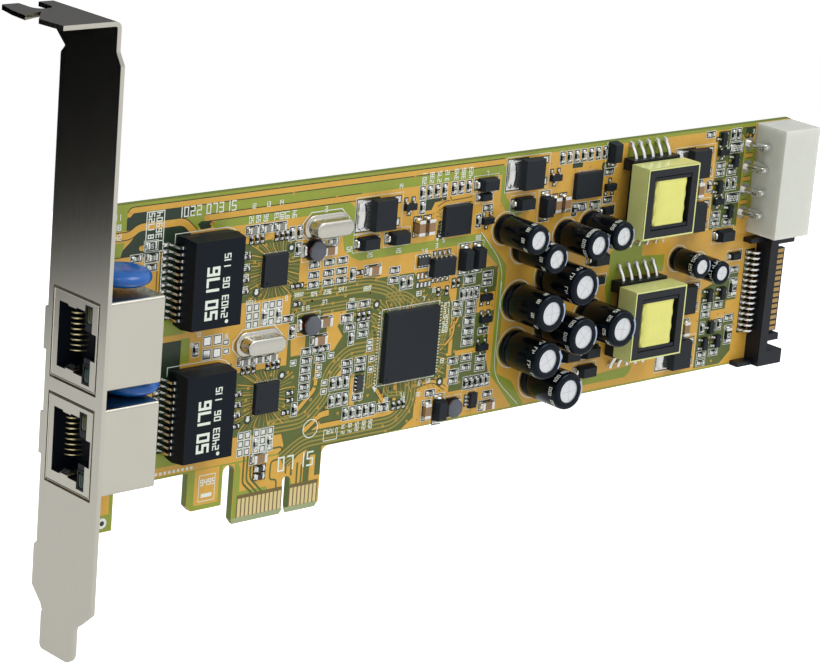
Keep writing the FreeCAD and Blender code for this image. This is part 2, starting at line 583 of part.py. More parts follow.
def make_transformer(which, place, drop):
    across = lambda half: (f"{place} - ({half})", f"{place} + {half}")
    down = lambda half: (f"{drop} - ({half})", f"{drop} + {half}")
    core_out = ("dim.core_low", "dim.core_high")

    core = add_body(f"transformer_core_{which}")
    ring = box_loop(across("dim.core_half"), down("dim.core_half"))
    window = box_loop(across("dim.core_window_half"), down("dim.core_window_half_high"))
    prism(core, "front", [ring, window], core_out)
    post = box_loop(across("dim.core_post_half"), down("dim.core_window_half_high"))
    prism(core, "front", [post], ("dim.core_post_low", "dim.core_post_high"))

    tape = add_body(f"transformer_tape_{which}")
    band = box_loop(across("dim.core_half + dim.tape"), down("dim.core_half + dim.tape"))
    prism(tape, "front", [band, ring], ("dim.tape_low", "dim.tape_high"))

    winding = add_body(f"transformer_winding_{which}")
    turns = box_loop(across("dim.winding_half"), ("dim.core_low + 0.1", "dim.core_high - 0.2"))
    bore = box_loop(across("dim.core_post_half"), ("dim.core_post_low", "dim.core_post_high"))
    prism(winding, "plan", [turns, bore], down("dim.winding_half_long"))
    corner = lambda x, h, d, run: (
        abs(run.z) > 5 and not value("core_post_low") - 0.1 < h < value("core_post_high") + 0.1)
    dress(winding, "Fillet", corner, 0.8)

    bobbin = add_body(f"transformer_bobbin_{which}")
    plate = box_loop(across("dim.bobbin_half"), down("dim.bobbin_half_long"))
    prism(bobbin, "front", [plate], ("dim.bobbin_plate", "dim.core_low"))
    for way in (-1, 1):
        rail_ends = (f"{drop} + {way} * dim.core_window_half_high", f"{drop} + {way} * dim.bobbin_half_long")
        rail = box_loop(across("dim.bobbin_half"), rail_ends)
        prism(bobbin, "front", [rail], ("dim.bobbin_low", "dim.bobbin_plate"))
        inner = f"{drop} + {way} * dim.winding_half_long"
        cheek = (inner, f"{inner} + {way} * dim.cheek")
        cheek_loop = box_loop(across("dim.cheek_half"), cheek)
        prism(bobbin, "front", [cheek_loop], ("dim.core_low", "dim.core_high - 0.1"))
    post_hole = box_loop(across("dim.core_post_half"), ("dim.core_post_low", "dim.core_post_high"))
    prism(bobbin, "plan", [post_hole], down("dim.core_half"), cut=True)

    pins = add_body(f"transformer_pins_{which}")
    high = "dim.core_low - 0.3"
    wings = []
    for way in (-1, 1):
        out = lambda reach: f"{drop} + {way} * ({reach})"
        knee = "dim.bobbin_half_long + 1.4"
        wing = [
            (high, out("dim.bobbin_half_long")), (high, out(f"{knee} - 0.3")),
            (f"{high} - 0.3", out(knee)), ("dim.pin_thick", out(knee)),
            ("dim.pin_thick", out("dim.pin_reach")), (0, out("dim.pin_reach")),
            (0, out(f"{knee} - dim.pin_thick")),
            (f"{high} - dim.pin_thick", out(f"{knee} - dim.pin_thick")),
            (f"{high} - dim.pin_thick", out("dim.bobbin_half_long"))]
        first = f"{place} - dim.pin_pitch * (dim.pin_count - 1) / 2"
        wings.append(prism(pins, "side", [wing], around(first, "dim.pin_wide")))
    repeat(pins, wings, "X_Axis", "dim.pin_pitch", "dim.pin_count")


# ---- power inlets ----

def make_power_inlet():
    housing = add_body("power_inlet_housing")
    down = ("dim.inlet_top", "dim.inlet_bottom")
    prism(housing, "side", [box_loop((0, "dim.inlet_high"), down)], ("dim.inlet_start", "dim.board_end"))
    left = "dim.inlet_top + dim.inlet_wall"
    right = "dim.inlet_bottom - dim.inlet_wall"
    roof = "dim.inlet_high - dim.inlet_wall"
    mouth = [
        ("dim.inlet_wall", left), ("dim.inlet_wall", right),
        (f"{roof} - dim.inlet_chamfer", right), (roof, f"{right} - dim.inlet_chamfer"),
        (roof, f"{left} + dim.inlet_chamfer"), (f"{roof} - dim.inlet_chamfer", left)]
    prism(housing, "side", [mouth], ("dim.inlet_start + dim.inlet_back", "dim.board_end + 1"), cut=True)
    middle = "(dim.inlet_top + dim.inlet_bottom) / 2"
    pin_drops = [f"{middle} + dim.inlet_pitch * ({step})" for step in (-1.5, -0.5, 0.5, 1.5)]
    bore = "dim.inlet_tail + 2 * dim.inlet_fit"
    holes = [box_loop(around("dim.inlet_pin_high", bore), around(drop, bore)) for drop in pin_drops]
    prism(housing, "side", holes, ("dim.inlet_start - 1", "dim.inlet_start + dim.inlet_back + 1"), cut=True)
    recesses = [box_loop((-1, 3), (43.2, 46.2)), box_loop((-1, 3), (52.2, 56.8))]
    prism(housing, "side", recesses, ("dim.inlet_start - 1", "dim.inlet_start + 0.8"), cut=True)

    pins = add_body("power_inlet_pins")
    last = pin_drops[3]
    back = "dim.inlet_start + dim.inlet_back"
    blade = box_loop(around("dim.inlet_pin_high", "dim.inlet_pin"), around(last, "dim.inlet_pin"))
    high = "dim.inlet_pin_high + dim.inlet_tail / 2"
    tail = [
        (back, high), ("dim.inlet_tail_place - dim.inlet_tail", high),
        ("dim.inlet_tail_place - dim.inlet_tail", 0), ("dim.inlet_tail_place", 0),
        ("dim.inlet_tail_place", f"{high} - dim.inlet_tail"), (back, f"{high} - dim.inlet_tail")]
    steps = [
        prism(pins, "side", [blade], (back, "dim.board_end - 1.2")),
        prism(pins, "plan", [tail], around(last, "dim.inlet_tail"))]
    repeat(pins, steps, "Z_Axis", "dim.inlet_pitch", 4)


def make_flat_inlet():
    housing = add_body("flat_inlet_housing")
    down = ("dim.flat_top", "dim.flat_bottom")
    prism(housing, "front", [box_loop(("dim.flat_back", "dim.flat_face"), down)], (0, "dim.flat_high"))
    arms = [
        box_loop(("dim.flat_face", "dim.flat_end"), ("dim.flat_top", "dim.flat_top + dim.flat_arm")),
        box_loop(("dim.flat_face", "dim.flat_end"), ("dim.flat_bottom - 3.2", "dim.flat_bottom"))]
    prism(housing, "front", arms, (0, "dim.flat_high"))
    feet = [
        box_loop(("dim.flat_foot_start", "dim.flat_back"), ("dim.flat_top", "dim.flat_top + 1")),
        box_loop(("dim.flat_foot_start", "dim.flat_back"), ("dim.flat_bottom - 1", "dim.flat_bottom"))]
    prism(housing, "front", feet, (0, 2.4))
    tongue = box_loop(
        ("dim.flat_face", "dim.flat_tongue_end"), ("dim.flat_tongue_top", "dim.flat_tongue_bottom"))
    prism(housing, "front", [tongue], ("dim.flat_tongue_low", "dim.flat_tongue_high"))
    key = box_loop(
        ("dim.flat_face", "dim.flat_tongue_end"), ("dim.flat_key_top", "dim.flat_key_bottom"))
    prism(housing, "front", [key], (0.3, "dim.flat_tongue_high + 1"))

    contacts = add_body("flat_inlet_contacts")
    middle = "(dim.flat_tongue_top + dim.flat_tongue_bottom) / 2"
    first = f"{middle} + dim.flat_pitch * (dim.flat_count - 1) / 2"
    pad = box_loop(
        ("dim.flat_face", "dim.flat_tongue_end - 0.4"), around(first, "dim.flat_pad"))
    tail = [
        ("dim.flat_back", 1.2), ("dim.flat_back - 1.4", 1.2), ("dim.flat_back - 1.9", 0.2),
        ("dim.flat_back - 3", 0.2), ("dim.flat_back - 3", 0), ("dim.flat_back - 1.7", 0),
        ("dim.flat_back - 1.3", 1), ("dim.flat_back", 1)]
    steps = [
        prism(
            contacts, "front", [pad],
            ("dim.flat_tongue_high", "dim.flat_tongue_high + dim.flat_plate")),
        prism(contacts, "plan", [tail], around(first, "dim.flat_pad * 0.6"))]
    repeat(contacts, steps, "Z_Axis", "dim.flat_pitch", "dim.flat_count")


# ---- small components ----

def chip(kind, place, drop, upright=False):
    # An upright chip has its length along the drop.
    across, down = f"dim.{kind}_long", f"dim.{kind}_wide"
    if upright:
        across, down = down, across
    return box(kind, around(along(place), across), (0, f"dim.{kind}_high"), around(drop, down))


def make_power_transistors():
    # A moulded body, the metal tab that it stands on, and two legs.
    solids = []
    for place, drop in (
            (73.8, 46.0), (113.2, 41.9), (162.4, 44.7), (162.8, 56.6), (162.6, 74.9), (162.8, 87.2)):
        start = along(place)
        end = f"{start} + dim.case_long"
        case_drop = around(drop, "dim.case_wide")
        solids.append(box("case", (start, end), ("dim.case_low", "dim.case_high"), case_drop))
        tab_start = f"{start} - dim.tab_reach"
        tab_drop = around(drop, "dim.tab_wide")
        solids.append(box("tab", (tab_start, end), (0, "dim.case_low"), tab_drop))
        for side in (-1, 1):
            leg_drop = around(f"{drop} + {side} * dim.power_leg_gap", "dim.power_leg_wide")
            solids.append(box("leg", (end, f"{end} + dim.power_leg_long"), (0, "dim.case_low"), leg_drop))
    group("power_transistors", solids)


def make_power_inductors():
    inductors = add_body("power_inductors")
    for place, drop in ((60.3, 51.4), (60.4, 66.3), (99.9, 89.2)):
        middle = along(place)
        foot = box_loop(around(middle, "dim.inductor_foot"), around(drop, "dim.inductor_foot"))
        prism(inductors, "front", [foot], (0, "dim.inductor_foot_high"))
        left, right = around(middle, "dim.inductor_top")
        upper, lower = around(drop, "dim.inductor_top")
        cut = "dim.inductor_cut"
        top = [
            (f"{left} + {cut}", upper), (f"{right} - {cut}", upper), (right, f"{upper} + {cut}"),
            (right, f"{lower} - {cut}"), (f"{right} - {cut}", lower), (f"{left} + {cut}", lower),
            (left, f"{lower} - {cut}"), (left, f"{upper} + {cut}")]
        prism(inductors, "front", [top], ("dim.inductor_foot_high", "dim.inductor_high"))


def make_diodes():
    lying = [
        (73.7, 51.6), (81.6, 51.4), (115.0, 48.1), (104.4, 43.0), (138.2, 62.6), (132.4, 82.8),
        (138.2, 82.8), (137.7, 87.0), (176.4, 61.9)]
    upright = [(121.3, 49.5), (100.0, 58.1), (103.5, 58.1), (139.7, 39.9), (96.3, 89.2)]
    small = [(104.3, 45.6), (139.1, 67.4), (181.0, 67.1), (139.6, 52.4)]
    solids = [chip("diode", place, drop) for place, drop in lying]
    solids += [chip("diode", place, drop, True) for place, drop in upright]
    solids += [chip("small_diode", place, drop) for place, drop in small]
    group("rectifier_diodes", solids)


def make_small_transistors():
    lying = [
        (84.2, 45.5), (123.6, 43.7), (139.8, 47.3), (105.5, 50.7), (107.0, 66.9), (107.3, 71.6),
        (107.0, 77.5), (173.5, 43.2), (173.6, 54.1)]
    upright = [
        (173.0, 40.2), (177.5, 45.5), (173.3, 50.9), (177.5, 56.7), (174.0, 75.2), (178.1, 75.2),
        (175.5, 82.6), (174.1, 86.2), (178.1, 86.1)]
    solids = [chip("transistor", place, drop) for place, drop in lying]
    solids += [chip("transistor", place, drop, True) for place, drop in upright]
    group("small_transistors", solids)


def make_chip_resistors():
    # The rows above the two chip groups, and the blocks round the large chip.
    upright = [(place, 43.1) for place in (87.4, 89.3, 91.3, 93.3, 95.8, 97.7, 99.8)]
    upright += [(125.3 + 2.05 * step, 39.8) for step in range(7)]
    upright += [(54.7, 47.6), (56.6, 47.6), (56.5, 50.9), (87.7, 46.1), (70.8, 57.7)]
    upright += [(49.2, 63.2), (52.7, 63.3), (56.4, 67.4), (71.7, 70.8), (58.4, 83.4)]
    upright += [(place, drop) for place in (67.7, 69.5, 71.3) for drop in (79.6, 83.1)]
    upright += [(place, 86.4) for place in (71.6, 73.4, 75.2, 76.9, 78.6)]
    upright += [(84.1, 61.1), (86.0, 61.1), (49.2, 89.0), (52.7, 89.0), (33.1, 67.7)]
    upright += [(place, 65.6) for place in (100.6, 101.9, 103.2, 104.5)]
    upright += [(place, 84.8) for place in (103.6, 105.1, 106.6, 108.1, 109.5)]
    upright += [(103.2, 50.6), (130.1, 51.2), (170.4, 50.5), (176.3, 50.6), (178.2, 50.6)]
    upright += [(176.4, 39.7), (178.1, 39.7), (178.5, 82.3), (173.2, 82.6)]
    lying = [(60.5, drop) for drop in (71.9, 73.8, 75.6, 77.3, 79.1, 80.9)]
    lying += [(71.1, 68.5), (74.6, 68.5), (74.6, 70.3), (71.1, 75.8), (74.6, 75.7), (71.2, 77.4)]
    lying += [(74.6, 77.4), (74.4, 83.3), (71.3, 64.1), (74.5, 64.1), (81.7, 58.2), (81.6, 60.2)]
    lying += [(place, drop) for place in (60.9, 64.6, 67.9) for drop in (54.5, 56.6, 58.5)]
    lying += [(63.0, 71.9), (65.0, 71.9), (64.0, 73.8), (65.2, 50.3), (55.2, 64.6), (18.0, 48.1)]
    lying += [(99.5, drop) for drop in (67.4, 69.3, 79.4)] + [(100.0, 82.0), (99.9, 83.7)]
    lying += [(103.2, drop) for drop in (67.7, 69.3, 79.2, 81.3)]
    lying += [(107.2, drop) for drop in (62.2, 63.9, 74.1, 80.0, 81.9)] + [(105.5, 48.1)]
    lying += [(110.0, 88.0), (94.0, 85.4), (139.3, 44.1), (139.6, 50.1), (169.3, 39.0)]
    lying += [(173.4, 46.2), (173.4, 47.9), (177.0, 47.9), (173.5, 57.2), (173.5, 59.0)]
    lying += [(177.2, 59.1), (173.7, 77.8), (177.4, 77.8), (173.7, 79.5), (181.4, 70.3)]
    lying += [(181.3, 81.3), (173.8, 88.7), (177.6, 88.7), (173.8, 90.6), (21.6, 50.2)]
    small = [(44.1, drop) for drop in (51.0, 53.3, 55.5, 57.8, 78.2, 80.4, 82.4, 84.6)]
    small += [(place, 58.2) for place in (56.2, 57.5)] + [(57.2, 61.9), (72.6, 57.5)]
    small += [(56.2, 83.7), (57.0, 79.8), (57.1, 81.3)]
    small_upright = [(place, drop) for drop in (47.7, 73.4) for place in (
        44.9, 46.2, 47.5, 51.0, 52.3, 53.5)]
    small_upright += [(place, 66.6) for place in (73.2, 74.5, 75.8)]
    small_upright += [(place, 86.6) for place in (84.3, 85.7, 87.0)]
    small_upright += [(97.9, 62.9), (99.2, 62.9), (93.9, 64.2), (96.2, 64.2)]
    wide = [(21.2, 46.0), (21.6, 48.3), (102.2, 62.6), (103.0, 71.4), (103.0, 73.6), (103.0, 75.8)]
    wide += [(132.1, 50.8), (136.0, 50.8), (81.5, 86.5), (70.2, 66.5)]
    large = [(177.7, 42.6), (178.2, 53.8)]
    large_upright = [(181.6, 74.4), (181.7, 85.2)]
    solids = [chip("resistor", place, drop) for place, drop in lying]
    solids += [chip("small_resistor", place, drop) for place, drop in small]
    solids += [chip("wide_resistor", place, drop) for place, drop in wide]
    solids += [chip("large_resistor", place, drop) for place, drop in large]
    group("chip_resistors", solids)
    solids = [chip("resistor", place, drop, True) for place, drop in upright]
    solids += [chip("small_resistor", place, drop, True) for place, drop in small_upright]
    solids += [chip("large_resistor", place, drop, True) for place, drop in large_upright]
    group("upright_chip_resistors", solids)


def make_chip_capacitors():
    tall = [(86.7, 49.9), (89.3, 49.9), (123.9, 49.3), (126.5, 49.3)]
    flat = [
        (64.1, 52.0), (75.9, 57.4), (64.3, 66.4), (63.3, 69.9), (110.0, 90.4), (50.2, 92.0)]
    flat_upright = [(167.3, 50.9), (167.6, 81.9), (93.2, 89.0)]
    wide = [(44.9, 45.8), (48.3, 45.8), (51.6, 45.8), (44.9, 71.7), (48.3, 71.7), (51.7, 71.7)]
    solids = [chip("tall_capacitor", place, drop, True) for place, drop in tall]
    solids += [chip("flat_capacitor", place, drop) for place, drop in flat]
    solids += [chip("flat_capacitor", place, drop, True) for place, drop in flat_upright]
    solids += [chip("wide_capacitor", place, drop) for place, drop in wide]
    group("chip_capacitors", solids)


def make_arrays():
    group("resistor_arrays", [chip("array", 89.2, 57.2), chip("array", 74.6, 80.4, True)])


make_bracket()
make_bracket_screws()
make_board()
make_edge_contacts()
for row, which in enumerate(("upper", "lower")):
    make_jack(row, which)
    make_module(row, which)
make_disc("upper", "dim.disc_upper", "dim.jack_top - dim.disc_clear - dim.disc_thick / 2")
make_disc("lower", "dim.disc_lower", f"dim.jack_top + ({jack_pitch} + dim.jack_wide) / 2")
make_crystal("upper", along(63.0), 46.9)
make_crystal("lower", along(48.0), 68.2)
make_chips()
for number, (kind, place, drop) in enumerate(can_places, start=1):
    make_can(number, kind, place, drop)
make_transformer("upper", along(150), 49.65)
make_transformer("lower", along(150), 76.05)
make_power_inlet()
make_flat_inlet()
make_power_transistors()
make_power_inductors()
make_diodes()
make_small_transistors()
make_chip_resistors()
make_chip_capacitors()
make_arrays()
doc.recompute()

for item in doc.Objects:
    if {"Invalid", "Error"} & set(item.State):
        raise ValueError(f"{item.Name} failed")
for part in parts:
    if part.Shape.isNull() or not part.Shape.isValid() or not part.Shape.Solids:
        raise ValueError(f"{part.Label} is not sound")

os.makedirs("parts", exist_ok=True)
for part in parts:
    part.Shape.exportStep(f"parts/{part.Label}.step")
triangles = sum(len(part.Shape.tessellate(0.1)[1]) for part in parts)
print(f"{len(parts)} nodes, {sum(len(part.Shape.Solids) for part in parts)} solids, {triangles} triangles")
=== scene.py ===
import json
import math
import random

import bmesh
import bpy
from mathutils import Matrix, Vector

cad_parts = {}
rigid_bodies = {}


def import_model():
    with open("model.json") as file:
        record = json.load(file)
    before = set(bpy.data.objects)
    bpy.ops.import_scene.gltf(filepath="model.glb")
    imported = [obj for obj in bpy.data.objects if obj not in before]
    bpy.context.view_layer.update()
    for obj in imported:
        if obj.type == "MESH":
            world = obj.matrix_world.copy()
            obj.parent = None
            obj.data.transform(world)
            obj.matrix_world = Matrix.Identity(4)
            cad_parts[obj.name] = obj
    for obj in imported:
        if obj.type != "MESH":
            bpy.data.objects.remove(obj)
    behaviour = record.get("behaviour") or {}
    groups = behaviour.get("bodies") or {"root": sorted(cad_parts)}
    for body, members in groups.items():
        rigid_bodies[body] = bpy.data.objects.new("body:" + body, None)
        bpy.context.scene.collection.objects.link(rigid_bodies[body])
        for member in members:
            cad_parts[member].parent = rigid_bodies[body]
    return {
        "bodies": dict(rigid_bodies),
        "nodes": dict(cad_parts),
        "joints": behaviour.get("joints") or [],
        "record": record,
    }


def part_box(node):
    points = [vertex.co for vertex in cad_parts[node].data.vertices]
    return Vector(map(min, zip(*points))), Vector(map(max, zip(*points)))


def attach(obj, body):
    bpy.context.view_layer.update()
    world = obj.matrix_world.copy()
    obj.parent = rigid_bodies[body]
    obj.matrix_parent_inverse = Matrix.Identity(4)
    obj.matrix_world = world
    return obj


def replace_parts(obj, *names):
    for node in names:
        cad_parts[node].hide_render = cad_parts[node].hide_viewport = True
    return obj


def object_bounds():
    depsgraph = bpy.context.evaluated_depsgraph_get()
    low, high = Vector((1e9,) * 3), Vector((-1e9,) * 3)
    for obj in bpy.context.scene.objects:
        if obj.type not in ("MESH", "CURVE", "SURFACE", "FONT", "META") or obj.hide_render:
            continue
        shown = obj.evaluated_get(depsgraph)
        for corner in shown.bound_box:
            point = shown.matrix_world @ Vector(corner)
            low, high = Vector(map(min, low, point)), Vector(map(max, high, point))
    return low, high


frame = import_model()
nodes = frame["nodes"]
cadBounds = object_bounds()
print("frame loaded:", len(nodes), "nodes")

mm = 0.001
boardLow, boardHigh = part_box("circuit_board")
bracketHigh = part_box("bracket")[1]
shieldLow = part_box("jack_shield_upper")[0]

# Places on the card are (across, out, down) in millimetres: across from the bracket's outside
# face, out from the board's component face and down from the bracket's top.
jackFace = 0.1
origin = Vector((shieldLow.x - jackFace * mm, boardLow.y, bracketHigh.z))
boardTop = (bracketHigh.z - boardHigh.z) / mm
boardThick = (boardHigh.y - boardLow.y) / mm


def place(across, out, down):
    return origin + Vector((across, -out, -down)) * mm


def measure(point):
    offset = (point - origin) / mm
    return Vector((offset.x, -offset.y, -offset.z))


def nodeRange(name):
    corners = [measure(corner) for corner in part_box(name)]
    return [Vector([pick(pair) for pair in zip(*corners)]) for pick in (min, max)]


def named(start):
    return sorted(name for name in nodes if name.startswith(start))


def centreOf(low, high):
    return (low[0] + high[0]) / 2, (low[2] + high[2]) / 2


def halfOf(low, high):
    return (high[0] - low[0]) / 2, (high[2] - low[2]) / 2


def linear(hexColour):
    parts = [int(hexColour[step:step + 2], 16) / 255 for step in (0, 2, 4)]
    return [part / 12.92 if part <= 0.04045 else ((part + 0.055) / 1.055) ** 2.4
            for part in parts] + [1.0]


def addNode(tree, kind, settings=None, links=None):
    node = tree.nodes.new(kind)
    for name, setting in (settings or {}).items():
        if isinstance(name, int) or name in node.inputs:
            node.inputs[name].default_value = setting
        else:
            setattr(node, name, setting)
    for name, socket in (links or {}).items():
        tree.links.new(socket, node.inputs[name])
    return node


def newMaterial(name):
    material = bpy.data.materials.new(name)
    material.use_nodes = True
    tree = material.node_tree
    tree.nodes.clear()
    output = addNode(tree, "ShaderNodeOutputMaterial")
    shader = addNode(tree, "ShaderNodeBsdfPrincipled")
    tree.links.new(shader.outputs["BSDF"], output.inputs["Surface"])
    return material, tree, shader


def finish(name, colour, second, grain, roughness, bump=0.0, stretch=(1, 1, 1), spread=0.06,
           edge=None, squash=None, **fixed):
    # A surface whose colour drifts between two tones over a grain of that many millimetres.
    # edge is the colour of the sides of a sheet that faces forwards, and squash evens out bends.
    material, tree, shader = newMaterial(name)
    for setting, number in fixed.items():
        shader.inputs[setting.replace("_", " ")].default_value = number
    where = addNode(tree, "ShaderNodeTexCoord").outputs["Object"]
    scaled = addNode(
        tree, "ShaderNodeMapping", {"Scale": [way / (grain * mm) for way in stretch]},
        {"Vector": where})
    noise = addNode(
        tree, "ShaderNodeTexNoise", {"Scale": 1.0, "Detail": 4.0, "Roughness": 0.6},
        {"Vector": scaled.outputs["Vector"]})
    mix = addNode(tree, "ShaderNodeMix", {"data_type": "RGBA"})
    mix.inputs["A"].default_value = linear(colour)
    mix.inputs["B"].default_value = linear(second)
    tree.links.new(noise.outputs["Fac"], mix.inputs["Factor"])
    normal = addNode(tree, "ShaderNodeTexCoord").outputs["Normal"]
    colours = mix
    if edge:
        parts = addNode(tree, "ShaderNodeSeparateXYZ", links={"Vector": normal})
        facing = addNode(
            tree, "ShaderNodeMath", {"operation": "ABSOLUTE"}, {0: parts.outputs["Y"]})
        colours = addNode(tree, "ShaderNodeMix", {"data_type": "RGBA"}, {"Factor": facing.outputs[0]})
        colours.inputs["A"].default_value = linear(edge)
        tree.links.new(mix.outputs["Result"], colours.inputs["B"])
    tree.links.new(colours.outputs["Result"], shader.inputs["Base Color"])
    gloss = addNode(
        tree, "ShaderNodeMapRange",
        {"To Min": max(roughness - spread, 0.03), "To Max": roughness + spread},
        {"Value": noise.outputs["Fac"]})
    tree.links.new(gloss.outputs["Result"], shader.inputs["Roughness"])
    if bump:
        relief = addNode(
            tree, "ShaderNodeBump", {"Strength": 0.5, "Distance": bump * mm},
            {"Height": noise.outputs["Fac"]})
        tree.links.new(relief.outputs["Normal"], shader.inputs["Normal"])
        if squash:
            flat = addNode(
                tree, "ShaderNodeVectorMath", {"operation": "MULTIPLY", 1: squash}, {0: normal})
            even = addNode(
                tree, "ShaderNodeVectorMath", {"operation": "NORMALIZE"}, {0: flat.outputs["Vector"]})
            tree.links.new(even.outputs["Vector"], relief.inputs["Normal"])
    return material


# Satin nickel-plated steel sheet, with the fine lengthwise grain of the rolled strip.
bracketSteel = finish(
    "bracketSteel", "c0bcb0", "c8c4b8", 0.5, 0.17, bump=0.0005, stretch=(1, 1, 0.1), spread=0.02,
    squash=(1.0, 1.0, 0.12), Metallic=1.0)
# Tin-plated steel of the jack shields, brighter and a little rougher than the bracket.
shieldSteel = finish("shieldSteel", "c4c0b3", "cbc7bb", 6.0, 0.2, spread=0.0, Metallic=1.0)
# Bright zinc on the bracket's screws.
screwSteel = finish("screwSteel", "c9c8c2", "d6d5d0", 0.5, 0.3, Metallic=1.0)
# Hot solder and tin plate on legs, pads and end caps.
tin = finish("tin", "d4d4d0", "e6e6e2", 0.3, 0.24, bump=0.004, Metallic=1.0)
# Gold flash on the fingers and the spring contacts.
gold = finish("gold", "d9c48c", "e3d09c", 0.4, 0.3, Metallic=1.0)
# Dull gold-flashed bronze of the jacks' spring wires, deep in the port.
wireGold = finish("wireGold", "c9ba8a", "d8cb9e", 0.4, 0.25, Metallic=1.0)
# Worn gold flash over bronze on the flat inlet's blades.
bladeGold = finish("bladeGold", "a98a58", "bb9b68", 0.4, 0.32, Metallic=1.0)
# Moulded epoxy of chips, matt from the mould.
epoxy = finish("epoxy", "12181d", "192026", 0.08, 0.5, bump=0.004, Specular_IOR_Level=0.25)
# Glossier moulded epoxy of the isolation modules.
moduleEpoxy = finish("moduleEpoxy", "0e141b", "131a22", 0.1, 0.42, bump=0.003, Specular_IOR_Level=0.1)
# Black nylon of the jack inserts, bobbins and the flat inlet.
blackNylon = finish("blackNylon", "080d15", "0e151e", 0.3, 0.4, bump=0.002, Specular_IOR_Level=0.3)
# White nylon, slightly milky.
whiteNylon = finish(
    "whiteNylon", "c6c7bc", "d0d1c6", 3.0, 0.42, bump=0.003, Subsurface_Weight=0.5,
    Subsurface_Scale=0.004, Subsurface_Radius=(1.0, 0.95, 0.9))
# Unlit amber and green light pipes.
amberLens = finish("amberLens", "37380f", "454618", 0.5, 0.25)
greenLens = finish("greenLens", "0c2c20", "143a2c", 0.5, 0.25)
# Blue epoxy dip of the disc capacitors.
blueDip = finish("blueDip", "094c94", "0f5cab", 2.5, 0.2, bump=0.01)
# Brushed nickel of the crystal cans.
crystalSteel = finish(
    "crystalSteel", "bfbcb1", "cecbc0", 0.3, 0.24, bump=0.001, stretch=(0.15, 1, 1), Metallic=1.0)
# Shrunk black sleeve of the capacitors, and the bare aluminium of their tops.
sleeve = finish(
    "sleeve", "03060b", "070b12", 0.6, 0.2, bump=0.002, Specular_IOR_Level=0.18,
    Specular_Tint=(0.6, 0.8, 1.0, 1.0))
canTop = finish("canTop", "d8dadc", "e4e6e8", 0.3, 0.38, bump=0.002, Metallic=1.0)
stripeInk = finish("stripeInk", "8fa0bb", "a3b2c9", 0.4, 0.3)
# Sintered ferrite, dark grey with a fine pitted grain.
ferrite = finish("ferrite", "33363a", "45484c", 0.15, 0.5, bump=0.01)
coreFerrite = finish("coreFerrite", "101418", "181c21", 0.2, 0.45, bump=0.006, Specular_IOR_Level=0.3)
# Polyester tape: the olive-yellow band round the core and the lemon wrap of the winding.
bandTape = finish("bandTape", "c6ca7c", "d4d88c", 3.0, 0.25, bump=0.01)
windingTape = finish("windingTape", "d2cf66", "dedb7c", 2.5, 0.22, bump=0.03, stretch=(1, 1, 0.3))
# Glass laminate left bare where the tongue is bevelled, and mask in the gaps between fingers.
bareLaminate = finish("bareLaminate", "8f9a6c", "a3ad80", 0.5, 0.5)
fingerGap = finish("fingerGap", "5d4f20", "6b5c28", 0.6, 0.4)
# Solder mask over copper, on the board itself, over bare laminate, in the dark gaps between
# conductors, round fine traces and on them.
lacquer = {"roughness": 0.3, "bump": 0.003, "Specular_IOR_Level": 0.35}
maskOnCopper = finish("maskOnCopper", "c49538", "d2a344", 1.2, **lacquer)
boardMask = finish("boardMask", "c49538", "d2a344", 1.2, edge="6b7d2c", **lacquer)
maskOnLaminate = finish("maskOnLaminate", "818e2b", "8f9a38", 1.5, **lacquer)
maskDark = finish("maskDark", "1f2d1e", "2a3a27", 1.5, **lacquer)
maskOnTraces = finish("maskOnTraces", "4c5722", "5a642a", 0.9, **lacquer)
traceMask = finish("traceMask", "847a34", "99863a", 0.9, **lacquer)
# White epoxy ink of the printed legend.
legendInk = finish("legendInk", "d0d6c6", "dfe4d8", 0.3, 0.6)
# Resistor and capacitor bodies.
resistorGlaze = finish("resistorGlaze", "17181a", "232427", 0.2, 0.3)
brownCeramic = finish("brownCeramic", "7f6142", "957550", 0.3, 0.4)
greyCeramic = finish("greyCeramic", "75726a", "8a877e", 0.3, 0.4)
# Enamelled copper wire, and the ground ferrite top over it.
copperWire = finish("copperWire", "8a4a2c", "a5603a", 0.3, 0.35, Metallic=1.0)
inductorTop = finish("inductorTop", "494c53", "575a61", 0.4, 0.45, bump=0.004)

nodeMaterials = {
    "bracket_screws": screwSteel, "bracket": bracketSteel, "circuit_board": boardMask,
    "edge_contacts": gold, "jack_shield": shieldSteel, "jack_insert": blackNylon,
    "jack_contacts": wireGold, "amber_lamp": amberLens, "green_lamp": greenLens,
    "isolation_module": moduleEpoxy, "isolation_leads": tin, "disc_capacitor": blueDip,
    "crystal": crystalSteel, "switch_chip": epoxy, "network_chips": epoxy,
    "power_controllers": epoxy, "small_outline_chips": epoxy, "can_capacitor": sleeve,
    "transformer_core": coreFerrite, "transformer_tape": bandTape,
    "transformer_winding": windingTape, "transformer_bobbin": blackNylon,
    "transformer_pins": tin, "power_inlet_housing": whiteNylon, "power_inlet_pins": tin,
    "flat_inlet_housing": blackNylon, "flat_inlet_contacts": bladeGold,
    "power_transistors": epoxy, "power_inductors": ferrite, "rectifier_diodes": epoxy,
    "small_transistors": epoxy, "chip_resistors": resistorGlaze,
    "upright_chip_resistors": resistorGlaze,
    "chip_capacitors": brownCeramic, "resistor_arrays": resistorGlaze}
for name, node in nodes.items():
    key = max((start for start in nodeMaterials if name.startswith(start)), key=len)
    node.data.materials.clear()
    node.data.materials.append(nodeMaterials[key])
print("materials ready")

